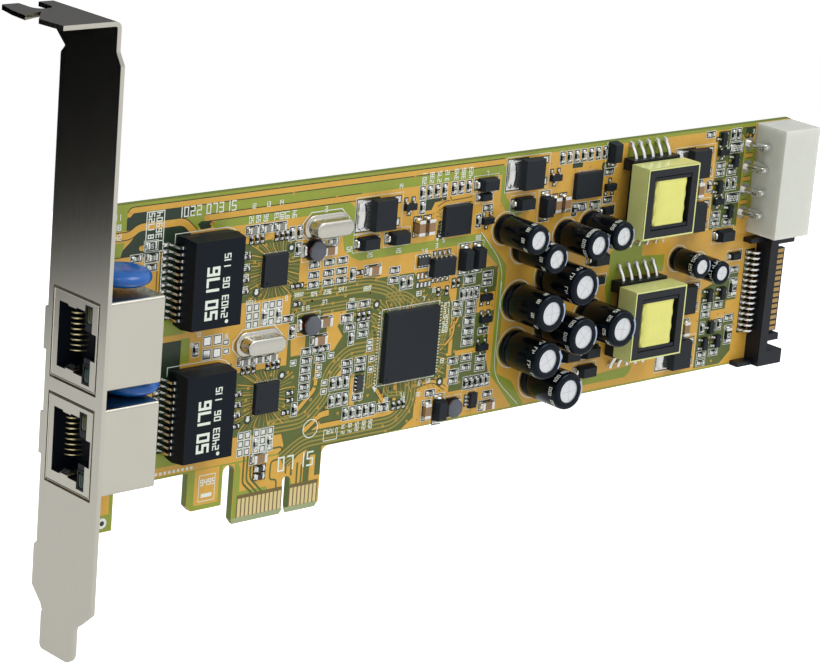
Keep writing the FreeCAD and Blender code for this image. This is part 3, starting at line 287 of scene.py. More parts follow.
# Angles in degrees and lengths in millimetres, but the floor's reaches and its fade in metres.
camera = {
    "azimuth": 42.75, "elevation": 16.57, "roll": 4.80, "distance": 622.0,
    "aim": (-7.3, 2.6, -10.2), "lens": 138.53}
studio = {
    "floorDrop": 45.0, "floorColour": "f2f2f0", "floorReach": 3.0, "fadeStart": 0.225,
    "tableReach": 0.39, "seenGlow": 0.62, "front": (0.35, -0.94, 0.0), "world": 0.8,
    "above": 0.45, "key": 7.3, "fill": 0.4}


def addCamera():
    turn, tilt, roll = (math.radians(camera[key]) for key in ("azimuth", "elevation", "roll"))
    ahead = Vector((
        math.sin(turn) * math.cos(tilt), math.cos(turn) * math.cos(tilt), -math.sin(tilt)))
    level = Vector((math.cos(turn), -math.sin(turn), 0))
    upright = level.cross(ahead)
    right = math.cos(roll) * level + math.sin(roll) * upright
    upward = -math.sin(roll) * level + math.cos(roll) * upright
    centre = (Vector(cadBounds[0]) + Vector(cadBounds[1])) / 2 + Vector(camera["aim"]) * mm
    data = bpy.data.cameras.new("camera")
    data.lens = camera["lens"]
    data.sensor_width = 36
    data.clip_start = 0.01
    obj = bpy.data.objects.new("camera", data)
    bpy.context.scene.collection.objects.link(obj)
    turned = Matrix((right, upward, -ahead)).transposed().to_4x4()
    obj.matrix_world = Matrix.Translation(centre - ahead * camera["distance"] * mm) @ turned
    bpy.context.scene.camera = obj


def addLamp(name, position, target, size, power):
    data = bpy.data.lights.new(name, "AREA")
    data.shape = "RECTANGLE"
    data.size, data.size_y = size
    data.energy = power
    obj = bpy.data.objects.new(name, data)
    bpy.context.scene.collection.objects.link(obj)
    obj.location = position
    obj.rotation_euler = (Vector(target) - Vector(position)).to_track_quat("-Z", "Y").to_euler()


def addFloor():
    height = cadBounds[0][2] - studio["floorDrop"] * mm
    reach, far = studio["floorReach"], studio["tableReach"]
    mesh = bpy.data.meshes.new("floor")
    mesh.from_pydata(
        [(-reach, -reach, height), (reach, -reach, height), (reach, far, height),
         (-reach, far, height)], [], [(0, 1, 2, 3)])
    floor = bpy.data.objects.new("floor", mesh)
    bpy.context.scene.collection.objects.link(floor)
    material, tree, shader = newMaterial("floorPaper")
    shader.inputs["Base Color"].default_value = linear(studio["floorColour"])
    shader.inputs["Roughness"].default_value = 0.9
    paper = shader.outputs["BSDF"]
    # Seen directly the paper is plain white, less its shadow; in the metal's reflections it fades
    # into the dark behind it.
    rays = addNode(tree, "ShaderNodeLightPath").outputs
    glow = addNode(
        tree, "ShaderNodeEmission", {"Color": linear("ffffff"), "Strength": studio["seenGlow"]})
    bright = addNode(tree, "ShaderNodeAddShader", links={0: paper, 1: glow.outputs["Emission"]})
    seen = addNode(
        tree, "ShaderNodeMixShader",
        links={0: rays["Is Camera Ray"], 1: paper, 2: bright.outputs["Shader"]})
    where = addNode(tree, "ShaderNodeTexCoord").outputs["Object"]
    parts = addNode(tree, "ShaderNodeSeparateXYZ", links={"Vector": where})
    fade = addNode(
        tree, "ShaderNodeMapRange",
        {"interpolation_type": "SMOOTHSTEP", "From Min": studio["fadeStart"],
         "From Max": studio["tableReach"], "To Min": 0.0, "To Max": 1.0},
        {"Value": parts.outputs["Y"]})
    faded = addNode(
        tree, "ShaderNodeMath", {"operation": "MULTIPLY"},
        {0: fade.outputs["Result"], 1: rays["Is Glossy Ray"]})
    dark = addNode(tree, "ShaderNodeEmission", {"Color": linear("000000"), "Strength": 0.0})
    mixed = addNode(tree, "ShaderNodeMixShader", links={
        0: faded.outputs["Value"], 1: seen.outputs["Shader"], 2: dark.outputs["Emission"]})
    tree.links.new(mixed.outputs["Shader"], tree.nodes["Material Output"].inputs["Surface"])
    mesh.materials.append(material)


def addWorld():
    world = bpy.data.worlds.new("studio")
    bpy.context.scene.world = world
    world.use_nodes = True
    tree = world.node_tree
    tree.nodes.clear()
    rays = addNode(tree, "ShaderNodeLightPath").outputs
    # Soft light from the front; behind the table the room is dark.
    where = addNode(tree, "ShaderNodeTexCoord").outputs["Generated"]
    parts = addNode(tree, "ShaderNodeSeparateXYZ", links={"Vector": where})
    ahead = addNode(
        tree, "ShaderNodeVectorMath", {"operation": "DOT_PRODUCT", 1: studio["front"]}, {0: where})
    front = addNode(
        tree, "ShaderNodeMapRange",
        {"From Min": -0.3, "From Max": 0.3, "To Min": 0.0, "To Max": studio["world"]},
        {"Value": ahead.outputs["Value"]})
    above = addNode(
        tree, "ShaderNodeMapRange",
        {"From Min": 0.0, "From Max": 0.6, "To Min": 0.0, "To Max": studio["above"]},
        {"Value": parts.outputs["Z"]})
    light = addNode(
        tree, "ShaderNodeMath", {"operation": "ADD"},
        {0: front.outputs["Result"], 1: above.outputs["Result"]})
    soft = addNode(
        tree, "ShaderNodeBackground", {"Color": linear("f4f6fa")},
        {"Strength": light.outputs["Value"]})
    white = addNode(tree, "ShaderNodeBackground", {"Color": linear("ffffff"), "Strength": 1.0})
    mixed = addNode(tree, "ShaderNodeMixShader", links={
        0: rays["Is Camera Ray"], 1: soft.outputs["Background"], 2: white.outputs["Background"]})
    addNode(tree, "ShaderNodeOutputWorld", links={"Surface": mixed.outputs["Shader"]})


bpy.context.scene.view_settings.view_transform = "Standard"
addCamera()
addFloor()
addWorld()
addLamp("keyLamp", (0.35, -0.6, 1.2), (0.03, 0, 0.04), (0.7, 0.7), studio["key"])
addLamp("fillLamp", (-0.9, -0.7, 0.4), (0.0, 0, 0.04), (0.6, 0.6), studio["fill"])
print("studio ready")


def newPiece(name, slot):
    # Faces are gathered from card places, with a material for each, until the piece is made.
    return {"name": name, "slot": slot, "points": [], "faces": [], "marks": [], "materials": []}


def addFaces(piece, points, faces, material):
    start = len(piece["points"])
    piece["points"] += [place(*point) for point in points]
    if material not in piece["materials"]:
        piece["materials"].append(material)
    mark = piece["materials"].index(material)
    piece["faces"] += [[start + corner for corner in face] for face in faces]
    piece["marks"] += [mark] * len(faces)


def makePiece(piece, solid=True, sharp=38):
    mesh = bpy.data.meshes.new(piece["name"])
    mesh.from_pydata(piece["points"], [], piece["faces"])
    for material in piece["materials"]:
        mesh.materials.append(material)
    mesh.polygons.foreach_set("material_index", piece["marks"])
    if solid:
        work = bmesh.new()
        work.from_mesh(mesh)
        bmesh.ops.recalc_face_normals(work, faces=work.faces)
        work.to_mesh(mesh)
        work.free()
        mesh.polygons.foreach_set("use_smooth", [True] * len(mesh.polygons))
        mesh.set_sharp_from_angle(angle=math.radians(sharp))
    obj = bpy.data.objects.new(piece["name"], mesh)
    bpy.context.scene.collection.objects.link(obj)
    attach(obj, "root")
    return obj


def addLoft(piece, rings, material, base=True, top=True):
    count = len(rings[0])
    points = [point for ring in rings for point in ring]
    faces = []
    for level in range(len(rings) - 1):
        for corner in range(count):
            after = (corner + 1) % count
            faces.append((
                level * count + corner, level * count + after, (level + 1) * count + after,
                (level + 1) * count + corner))
    if base:
        faces.append(tuple(reversed(range(count))))
    if top:
        faces.append(tuple(range((len(rings) - 1) * count, len(rings) * count)))
    addFaces(piece, points, faces, material)


def rectangle(low, high, out, inset=0.0, corner=0.0):
    left, right, top, bottom = low[0] + inset, high[0] - inset, low[2] + inset, high[2] - inset
    if not corner:
        return [(left, out, top), (left, out, bottom), (right, out, bottom), (right, out, top)]
    return [
        (left + corner, out, top), (left, out, top + corner), (left, out, bottom - corner),
        (left + corner, out, bottom), (right - corner, out, bottom), (right, out, bottom - corner),
        (right, out, top + corner), (right - corner, out, top)]


def addBlock(piece, low, high, material, chamfer=0.0, taper=0.0, corner=0.0):
    # A block on the board whose outer face is pulled in by taper and edged by a chamfer.
    rings = [rectangle(low, high, low[1], 0.0, corner)]
    if chamfer:
        rings.append(rectangle(low, high, high[1] - chamfer, taper, corner))
    rings.append(rectangle(low, high, high[1], taper + chamfer, corner))
    addLoft(piece, rings, material)


def addDome(piece, low, high, material, levels=3):
    # Solder that has risen over a pad: a low rounded mound.
    middle, half = centreOf(low, high), halfOf(low, high)
    rings = []
    for level in range(levels + 1):
        rise = level / levels * math.pi / 2
        spread = max(math.cos(rise), 0.12) ** 0.6
        ring = []
        for step in range(10):
            turn = step / 10 * 2 * math.pi
            along, beside = math.cos(turn), math.sin(turn)
            ring.append((
                middle[0] + half[0] * spread * math.copysign(abs(beside) ** 0.7, beside),
                low[1] + (high[1] - low[1]) * math.sin(rise),
                middle[1] + half[1] * spread * math.copysign(abs(along) ** 0.7, along)))
        rings.append(ring)
    addLoft(piece, rings, material)


def circle(across, down, out, radius, steps):
    return [
        (across + radius * math.sin(step / steps * 2 * math.pi), out,
         down + radius * math.cos(step / steps * 2 * math.pi)) for step in range(steps)]


def addTurned(piece, at, profile, material, steps, scale=1.0, base=False, top=False):
    addLoft(
        piece, [circle(*at, out, radius * scale, steps) for radius, out in profile], material,
        base, top)


def addStrap(piece, path, side, width, thick, material):
    # A flat strip bent along a path; side is the direction across its width.
    side = Vector(side).normalized()
    path = [Vector(point) for point in path]
    rings = []
    for index, point in enumerate(path):
        before = path[max(index - 1, 0)]
        after = path[min(index + 1, len(path) - 1)]
        normal = (after - before).normalized().cross(side) * thick / 2
        rings.append([
            point - side * width / 2 - normal, point + side * width / 2 - normal,
            point + side * width / 2 + normal, point - side * width / 2 + normal])
    addLoft(piece, rings, material)


def addTube(piece, path, radius, material, sides=10):
    path = [Vector(point) for point in path]
    rings = []
    guide = Vector((0, 0, 1))
    for index, point in enumerate(path):
        run = (path[min(index + 1, len(path) - 1)] - path[max(index - 1, 0)]).normalized()
        first = run.cross(guide)
        if first.length < 0.1:
            first = run.cross(Vector((1, 0, 0)))
        first.normalize()
        second = run.cross(first)
        rings.append([
            point + (first * math.cos(turn) + second * math.sin(turn)) * radius
            for turn in (step / sides * 2 * math.pi for step in range(sides))])
    addLoft(piece, rings, material)


def addFlat(piece, outline, out, material):
    # A flat patch on the board, turned to face outwards.
    area = sum(
        first[1] * second[0] - first[0] * second[1]
        for first, second in zip(outline, outline[1:] + outline[:1]))
    if area < 0:
        outline = outline[::-1]
    points = [(across, out, down) for across, down in outline]
    addFaces(piece, points, [tuple(range(len(points)))], material)


def addPatch(piece, left, top, right, bottom, out, material):
    addFlat(piece, [(left, top), (left, bottom), (right, bottom), (right, top)], out, material)


def addTrace(piece, route, width, out, material):
    route = [Vector(point) for point in route]
    edges = []
    for index, point in enumerate(route):
        into = (point - route[index - 1]).normalized() if index else None
        onward = (route[index + 1] - point).normalized() if index < len(route) - 1 else None
        into = into or onward
        onward = onward or into
        normal = Vector((-(into.y + onward.y), into.x + onward.x)).normalized()
        reach = width / 2 / max(normal.dot(Vector((-into.y, into.x))), 0.4)
        edges.append((point + normal * reach, point - normal * reach))
    for first, second in zip(edges, edges[1:]):
        corners = (first[0], first[1], second[1], second[0])
        addFlat(piece, [tuple(corner) for corner in corners], out, material)


def addFrame(piece, left, top, right, bottom, width, out, material):
    top = max(top, boardTop + 0.15)
    addPatch(piece, left, top, right, top + width, out, material)
    addPatch(piece, left, bottom - width, right, bottom, out, material)
    addPatch(piece, left, top + width, left + width, bottom - width, out, material)
    addPatch(piece, right - width, top + width, right, bottom - width, out, material)


def addRing(piece, across, down, inner, outer, out, material, steps=20):
    for step in range(steps):
        turns = [(step + more) / steps * 2 * math.pi for more in (0, 1)]
        addFlat(piece, [
            (across + radius * math.sin(turn), down + radius * math.cos(turn))
            for radius, turn in (
                (inner, turns[0]), (outer, turns[0]), (outer, turns[1]), (inner, turns[1]))],
            out, material)


def addSpot(piece, across, down, radius, out, material, steps=12):
    addFlat(piece, [(point[0], point[2]) for point in circle(across, down, out, radius, steps)],
            out, material)


digitStrokes = {
    "0": "abcdef", "1": "bc", "2": "abged", "3": "abgcd", "4": "fgbc", "5": "afgcd",
    "6": "afgedc", "7": "abc", "8": "abcdefg", "9": "abcdfg"}
strokeEnds = {
    "a": ((0, 0), (1, 0)), "b": ((1, 0), (1, 1)), "c": ((1, 1), (1, 2)), "d": ((0, 2), (1, 2)),
    "e": ((0, 1), (0, 2)), "f": ((0, 0), (0, 1)), "g": ((0, 1), (1, 1))}


def addDigits(piece, text, at, size, material, weight=0.2):
    # Plain numbers; at turns a place in the text, in character heights, into a card place.
    # Upright strokes stop short of the level ones, so that no two overlap.
    half = weight / 2
    for index, character in enumerate(text):
        strokes = digitStrokes.get(character, "")
        for stroke in strokes:
            (startX, startY), (endX, endY) = strokeEnds[stroke]
            left, right = startX * 0.5 + index * 0.85 - half, endX * 0.5 + index * 0.85 + half
            top, bottom = startY * 0.5 - half, endY * 0.5 + half
            if startX == endX:
                if "agd"[startY] in strokes:
                    top += weight
                elif startY == 1:
                    top += half
                if "agd"[endY] in strokes:
                    bottom -= weight
                elif endY == 1:
                    bottom -= half
            addFaces(
                piece, [at(along * size, below * size) for along, below in (
                    (left, top), (left, bottom), (right, bottom), (right, top))],
                [(0, 1, 2, 3)], material)


def flatText(across, down, out, turned=False):
    if turned:
        return lambda along, below: (across + below, out, down - along)
    return lambda along, below: (across + along, out, down + below)


def blocks(name):
    # The ranges of a node's separate blocks.
    mesh = nodes[name].data
    joined = list(range(len(mesh.vertices)))
    seen = {}
    for vertex in mesh.vertices:
        spot = tuple(round(part / mm * 1000) for part in vertex.co)
        joined[vertex.index] = seen.setdefault(spot, vertex.index)

    def root(index):
        while joined[index] != index:
            index = joined[index]
        return index

    for edge in mesh.edges:
        first, second = sorted(root(index) for index in edge.vertices)
        joined[second] = first
    groups = {}
    for vertex in mesh.vertices:
        groups.setdefault(root(vertex.index), []).append(measure(vertex.co))
    ranges = [
        ([min(point[axis] for point in points) for axis in range(3)],
         [max(point[axis] for point in points) for axis in range(3)])
        for points in groups.values()]
    return sorted(ranges, key=lambda pair: (round(pair[0][2], 1), pair[0][0]))


can = {
    "bead": 0.16, "beadDepth": 0.07, "rimRound": 0.09, "topShare": 0.61, "topSink": 0.25,
    "bandHalfAngle": 34, "markSize": 0.95, "marks": ("16", "100", "25", "47"),
    "markPlaces": ((150, 0.86), (205, 0.9), (20, 0.9), (240, 0.91), (285, 0.88), (325, 0.91))}


def makeCans():
    piece = newPiece("capacitors", "can_steel")
    names = named("can_capacitor")
    for number, name in enumerate(names):
        low, high = nodeRange(name)
        centre = centreOf(low, high)
        radius, height = (high.x - low.x) / 2, high.y
        bead, rim = can["bead"] * height, can["rimRound"] * height
        neck, waist = 1 - can["beadDepth"] * 0.7, 1 - can["beadDepth"]
        flat, sunk = can["topShare"], height - can["topSink"]

        def around(turn, reach, out):
            return (centre[0] + radius * reach * math.sin(turn), out,
                    centre[1] + radius * reach * math.cos(turn))

        addTurned(piece, centre, [
            (0.9, 0.05), (0.985, 0.25), (1, 0.5), (1, bead * 0.72), (neck, bead * 0.86),
            (waist, bead), (neck, bead * 1.14), (1, bead * 1.3), (1, height - rim),
            (0.985, height - rim * 0.55), (0.94, height - rim * 0.2), (0.87, height - 0.02),
            (0.8, height), (flat * 1.04, height - 0.03), (flat, sunk)],
            sleeve, 48, scale=radius, base=True)
        addTurned(piece, centre, [
            (flat, sunk), (flat * 0.96, sunk + 0.06), (flat * 0.5, sunk + 0.08),
            (0.05 / radius, sunk + 0.08)], canTop, 48, scale=radius, top=True)
        # The light band down one side, broken near the rim and going on over it.
        bands = (
            ((1.004, height * 0.34), (1.004, (height - rim) * 0.86)),
            ((0.995, height * 0.9), (0.995, height - rim * 0.5)),
            ((0.99, height - rim * 0.55 + 0.015), (0.945, height - rim * 0.2 + 0.015),
             (0.87, height + 0.005), (0.8, height + 0.025)))
        turns = [math.radians(90 + can["bandHalfAngle"] * (step / 4 - 1)) for step in range(9)]
        for band in bands:
            for lower, upper in zip(band, band[1:]):
                for first, last in zip(turns, turns[1:]):
                    addFaces(piece, [
                        around(first, *lower), around(last, *lower), around(last, *upper),
                        around(first, *upper)], [(0, 1, 2, 3)], stripeInk)
        for start, share in can["markPlaces"]:
            def onSleeve(along, below):
                return around(math.radians(start) - along / radius, 1.006,
                              height * share - below * 0.8)

            addDigits(piece, can["marks"][number % 4], onSleeve, can["markSize"], legendInk)
        # The scored cross on the top lets it vent.
        for turn in (0.6 + number * 0.9, 0.6 + number * 0.9 + math.pi / 2):
            run = Vector((math.cos(turn), math.sin(turn))) * flat * radius * 0.8
            addTrace(piece, (Vector(centre) - run, Vector(centre) + run), 0.07, sunk + 0.09,
                     shieldSteel)
    obj = makePiece(piece)
    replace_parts(obj, *names)


joint = {
    "cap": 0.22, "pad": 0.35, "padSide": 0.1, "rise": 0.75, "gap": 0.22, "frame": 0.12,
    "frameGap": 0.32}
solids = newPiece("small_parts", "resistor_body")
solder = newPiece("solder_joints", "tinned_lead")
legend = newPiece("legend", "board")
clearance = newPiece("clearances", "board")
copper = newPiece("copper", "board")
dice = random.Random(11)
# Heights of the flat layers above the board's face; faces that share one would shade each other.
layers = {
    "areas": 0.003, "areaStep": 0.0005, "conductors": 0.026, "gaps": 0.0302, "bundles": 0.0308,
    "fans": 0.0335, "vias": 0.0355, "viaHoles": 0.0365, "gap": 0.042, "pad": 0.046, "strip": 0.05,
    "ink": 0.052}


def addPad(left, top, right, bottom):
    gap = joint["gap"]
    addPatch(clearance, left - gap, top - gap, right + gap, bottom + gap, layers["gap"], maskDark)
    addPatch(clearance, left, top, right, bottom, layers["pad"], tin)


def printFrame(left, top, right, bottom, width=joint["frame"]):
    addFrame(legend, left, top, right, bottom, width, layers["ink"], legendInk)


def printFrameRound(low, high, across, down, width=joint["frame"]):
    printFrame(low[0] - across, low[2] - down, high[0] + across, high[2] + down, width)


def alongLength(low, high):
    return 0 if high[0] - low[0] > high[2] - low[2] else 2


def span(low, high, axis, first, last):
    # The same range cut along one axis, between two places in either order.
    start, end = list(low), list(high)
    start[axis], end[axis] = sorted((first, last))
    return start, end


def addTwoEnded(low, high, body, number="", frame=True):
    # A chip part: ceramic body, tinned ends, solder risen against both and a printed frame.
    axis = alongLength(low, high)
    other = 2 - axis
    cap = (high[axis] - low[axis]) * joint["cap"]
    start, end = span(low, high, axis, low[axis] + cap * 0.8, high[axis] - cap * 0.8)
    addBlock(solids, start, [end[0], end[1] - 0.03, end[2]], body, chamfer=0.03)
    corners = []
    for edge, inward in ((low[axis], 1), (high[axis], -1)):
        ends, mound, pad = (
            span(low, high, axis, edge - inward * outer, edge + inward * inner)
            for outer, inner in ((0, cap), (joint["pad"], cap * 0.6), (joint["pad"], cap)))
        addBlock(solids, *ends, tin, chamfer=0.06)
        rise = min(high[1] * joint["rise"], 0.9) * dice.uniform(0.85, 1.1)
        addDome(solder, *span(*mound, 1, 0.0, rise), tin)
        start, end = span(
            *pad, other, low[other] - joint["padSide"], high[other] + joint["padSide"])
        addPad(start[0], start[2], end[0], end[2])
        corners += [start, end]
    left, top, right, bottom = corners[0][0], corners[0][2], corners[3][0], corners[3][2]
    addPatch(clearance, left - 0.15, top - 0.15, right + 0.15, bottom + 0.15, layers["gap"], maskDark)
    if frame:
        printFrameRound(corners[0], corners[3], joint["frameGap"], joint["frameGap"])
    if number:
        across, down = centreOf(low, high)
        size = (high[other] - low[other]) * 0.62
        wide = size * (0.85 * len(number) - 0.35)
        at = flatText(across - wide / 2, down - size / 2, high[1] + 0.01)
        if axis == 2:
            at = flatText(across - size / 2, down + wide / 2, high[1] + 0.01, turned=True)
        addDigits(legend, number, at, size, legendInk, weight=0.16)


tongueResistors = {"across": 50.7, "downs": (94.2, 95.8), "half": 1.0}


def makeChipParts():
    for low, high in blocks("chip_resistors") + blocks("upright_chip_resistors"):
        length = max(high[0] - low[0], high[2] - low[2])
        number = str(dice.choice((103, 472, 101, 220, 330, 151))) if length > 1.3 else ""
        addTwoEnded(low, high, resistorGlaze, number=number, frame=length > 1.3)
    for low, high in blocks("chip_capacitors"):
        addTwoEnded(low, high, brownCeramic if high[1] > 0.9 else greyCeramic, frame=high[1] < 1.5)
    # Two small resistors stand side by side on the tongue, below its large capacitor.
    across, half = tongueResistors["across"], tongueResistors["half"]
    for down in tongueResistors["downs"]:
        addTwoEnded([across - half, 0.0, down - 0.5], [across + half, 0.5, down + 0.5],
                    resistorGlaze, frame=False)
    for low, high in blocks("resistor_arrays"):
        axis = alongLength(low, high)
        other = 2 - axis
        addBlock(solids, low, high, resistorGlaze, chamfer=0.05)
        for step in range(4):
            at = low[axis] + (step + 0.5) * (high[axis] - low[axis]) / 4
            for edge, outward in ((low[other], -1), (high[other], 1)):
                start, end = span(low, high, axis, at - 0.18, at + 0.18)
                start, end = span(start, end, other, edge + outward * 0.35, edge - outward * 0.2)
                addPad(start[0], start[2], end[0], end[2])
                end[1] = 0.42
                addDome(solder, start, end, tin, levels=2)
        printFrameRound(low, high, 0.7, 0.7)


transistor = {"leg": 0.42, "reach": 0.85, "thick": 0.13, "height": 0.55, "pitch": 0.95}


def addLeg(across, down, edgeOut, way, width, reach, height, thick=transistor["thick"]):
    # A gull-wing leg: out of the body, down to the board and along it; way is its direction.
    run = Vector((way[0], 0, way[1]))
    side = Vector((way[1], 0, -way[0]))
    start = Vector((across, height, down)) + run * edgeOut
    drop = Vector((0, thick / 2 + 0.02 - height, 0))
    addStrap(solids, [
        start - run * 0.15, start + run * reach * 0.25, start + run * reach * 0.42 + drop * 0.5,
        start + run * reach * 0.55 + drop, start + run * reach + drop], side, width, thick, tin)
    foot = start + run * reach * 0.82
    spreadAcross, spreadDown = (
        abs(along) * reach * 0.36 + abs(beside) * width * 0.75
        for along, beside in (way, way[::-1]))
    left, right = foot.x - spreadAcross, foot.x + spreadAcross
    top, bottom = foot.z - spreadDown, foot.z + spreadDown
    addPad(left, top, right, bottom)
    addDome(solder, [left, 0.0, top], [right, min(0.32, width), bottom], tin, levels=2)


def addLegs(low, high, places, width, reach, height):
    # Legs from a body's long sides; each place is a shift along it and a side.
    across, down = centreOf(low, high)
    halfAcross, halfDown = halfOf(low, high)
    for shift, side in places:
        if alongLength(low, high) == 0:
            addLeg(across + shift, down, halfDown, (0, side), width, reach, height)
        else:
            addLeg(across, down + shift, halfAcross, (side, 0), width, reach, height)


def makeTransistors():
    for index, (low, high) in enumerate(blocks("small_transistors")):
        addBlock(solids, [low[0], 0.08, low[2]], high, epoxy, chamfer=0.06, taper=0.07)
        pitch, flip = transistor["pitch"], 1 if index % 5 else -1
        addLegs(low, high, ((-pitch, -flip), (pitch, -flip), (0, flip)), transistor["leg"],
                transistor["reach"], transistor["height"])
    for low, high in blocks("rectifier_diodes"):
        axis = alongLength(low, high)
        other = 2 - axis
        addBlock(solids, [low[0], 0.15, low[2]], high, epoxy, chamfer=0.08,
                 taper=0.28 if high[1] > 1.5 else 0.12)
        middle = (low[other] + high[other]) / 2
        half = (high[other] - low[other]) * 0.31
        for edge, outward in ((low[axis], -1), (high[axis], 1)):
            start, end = span(low, high, axis, edge + outward * 0.75, edge - outward * 0.15)
            start, end = span(start, end, other, middle - half, middle + half)
            start[2] = max(start[2], boardTop + 0.3)
            addPad(start[0] - 0.12, start[2] - 0.12, end[0] + 0.12, end[2] + 0.12)
            addDome(solder, *span(start, end, 1, 0.0, high[1] * 0.5), tin)
        printFrameRound(low, high, 1.2 if axis == 0 else 0.5, 1.2 if axis == 2 else 0.5)


powerTransistor = {"lifted": 0.3, "tabLength": 5.0, "leg": 0.8, "legHeight": 0.9, "legThick": 0.4}


def makePowerTransistors():
    # The body stands clear of the board on a long soldered tab; the short blocks are its legs.
    for low, high in blocks("power_transistors"):
        if low[1] > powerTransistor["lifted"]:
            addBlock(solids, low, high, epoxy, chamfer=0.1, taper=0.12)
        elif high[0] - low[0] > powerTransistor["tabLength"]:
            addBlock(solids, [low[0], 0.06, low[2]], high, tin, chamfer=0.05)
            addPad(low[0] - 0.9, low[2] - 0.35, low[0] + 4.6, high[2] + 0.35)
            addDome(solder, [low[0] - 0.85, 0.0, low[2] - 0.25],
                    [low[0] + 1.5, 0.85, high[2] + 0.25], tin)
            printFrame(low[0] - 1.3, low[2] - 0.9, high[0] + 3.1, high[2] + 0.9)
        else:
            addLeg(
                low[0], (low[2] + high[2]) / 2, 0.0, (1, 0), powerTransistor["leg"],
                high[0] - low[0], powerTransistor["legHeight"], powerTransistor["legThick"])


chips = {
    "network_chips": {"pitch": 0.4, "leg": 0.2, "legs": (14, 14), "reach": 0.3},
    "power_controllers": {"pitch": 0.5, "leg": 0.26, "legs": (12, 10), "reach": 0.35},
    "switch_chip": {"pitch": 0.4, "leg": 0.2, "legs": (32, 32), "reach": 0.45}}
# Small outline chips: legs by the body's height, and their size by the way the body lies.
outlines = {
    "tall": {"legs": 4, "pitch": 1.27}, "low": {"legs": 3, "pitch": 0.8},
    0: {"width": 0.42, "reach": 1.05}, 2: {"width": 0.36, "reach": 0.7}}


def inRow(count, pitch):
    return [(step - (count - 1) / 2) * pitch for step in range(count)]


def makeChips():
    for name, plan in chips.items():
        for low, high in blocks(name):
            addBlock(solids, [low[0], 0.02, low[2]], high, epoxy, chamfer=0.07, taper=0.03)
            for axis, count in zip((0, 2), plan["legs"]):
                other = 2 - axis
                for shift in inRow(count, plan["pitch"]):
                    middle = (low[axis] + high[axis]) / 2 + shift
                    for edge, outward in ((low[other], -1), (high[other], 1)):
                        start, end = span(
                            low, high, axis, middle - plan["leg"] / 2, middle + plan["leg"] / 2)
                        start, end = span(
                            start, end, other, edge - outward * plan["reach"] * 0.1,
                            edge + outward * plan["reach"] * 0.9)
                        addBlock(solder, *span(start, end, 1, 0.0, 0.12), tin, chamfer=0.04)
            # Pin 1 is marked by a printed wedge beside its corner and a shallow dot.
            addFlat(
                legend, [(low[0] - 1.4, high[2] + 0.2), (low[0] - 0.5, high[2] + 0.2),
                         (low[0] - 0.95, high[2] + 1.0)], layers["ink"], legendInk)
            addSpot(solids, low[0] + 0.8, high[2] - 0.8, 0.3, high[1] + 0.005, moduleEpoxy)
    for low, high in blocks("small_outline_chips"):
        addBlock(solids, [low[0], 0.12, low[2]], high, epoxy, chamfer=0.08, taper=0.08)
        row = outlines["tall" if high[1] > 1.2 else "low"]
        leg = outlines[alongLength(low, high)]
        places = [(shift, side) for shift in inRow(row["legs"], row["pitch"]) for side in (-1, 1)]
        addLegs(low, high, places, leg["width"], leg["reach"], high[1] * 0.5)
        printFrameRound(low, high, 0.35, 0.35)


inductor = {
    "base": 0.6, "baseCorner": 0.7, "capFrom": 1.35, "capInset": 0.1, "capCorner": 1.1,
    "winding": ((0.8, 0.55), (0.83, 0.8), (0.83, 1.15), (0.8, 1.4))}


def makeInductors():
    # A dark round-cornered ferrite cap on a copper winding between two flanges.
    for low, high in blocks("power_inductors"):
        across, down = centreOf(low, high)
        half, inset = (high[0] - low[0]) / 2, inductor["capInset"]
        addBlock(solids, [low[0], 0.02, low[2]], [high[0], inductor["base"], high[2]], blackNylon,
                 corner=inductor["baseCorner"])
        addTurned(solids, (across, down), inductor["winding"], copperWire, 24, scale=half)
        addBlock(
            solids, [low[0] + inset, inductor["capFrom"], low[2] + inset],
            [high[0] - inset, high[1], high[2] - inset], inductorTop, chamfer=0.12,
            corner=inductor["capCorner"])
        for at in (across - half - 0.1, across + half + 0.1):
            addPad(at - 0.6, down - 1.3, at + 0.6, down + 1.3)
            addDome(solder, [at - 0.5, 0, down - 1.2], [at + 0.5, 0.7, down + 1.2], tin)
        printFrameRound(low, high, 0.9, 0.4)


makeCans()
makeChipParts()
makeTransistors()
makePowerTransistors()
makeChips()
makeInductors()
obj = makePiece(solids)
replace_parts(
    obj, "chip_resistors", "upright_chip_resistors", "chip_capacitors", "resistor_arrays",
    "small_transistors", "rectifier_diodes", "power_transistors", "network_chips",
    "power_controllers", "switch_chip", "small_outline_chips", "power_inductors")
print("small parts ready")

disc = {"radius": 5.5, "leadGap": 2.5, "lead": 0.3, "fullness": 0.42}


def makeDiscs():
    # A lens of dipped ceramic with a rounded rim, on two wire leads.
    piece = newPiece("discs", "blue_dip")
    names = named("disc_capacitor")
    for name in names:
        low, high = nodeRange(name)
        across, middle = centreOf(low, high)
        out, half = high.y - disc["radius"], (high.z - low.z) / 2
        rings = []
        for step in range(17):
            turn = (step / 16 - 0.5) * math.pi
            reach = disc["radius"] * max(math.cos(turn), 0.02) ** disc["fullness"]
            rings.append([
                (across + reach * math.sin(angle), out + reach * math.cos(angle),
                 middle + half * math.sin(turn))
                for angle in (number / 40 * 2 * math.pi for number in range(40))])
        addLoft(piece, rings, blueDip)
        for root in (across - disc["leadGap"], across + disc["leadGap"]):
            addTube(piece, [(root, rise, middle) for rise in (3.0, 1.2, 0.0)], disc["lead"], tin)
    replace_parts(makePiece(piece), *names)


port = {
    "wire": 0.19, "pitch": 1.016, "frame": 0.32, "corner": 0.3, "bulge": 0.25, "rim": 0.13,
    "filler": 0.22, "tab": (3.9, 5.9)}


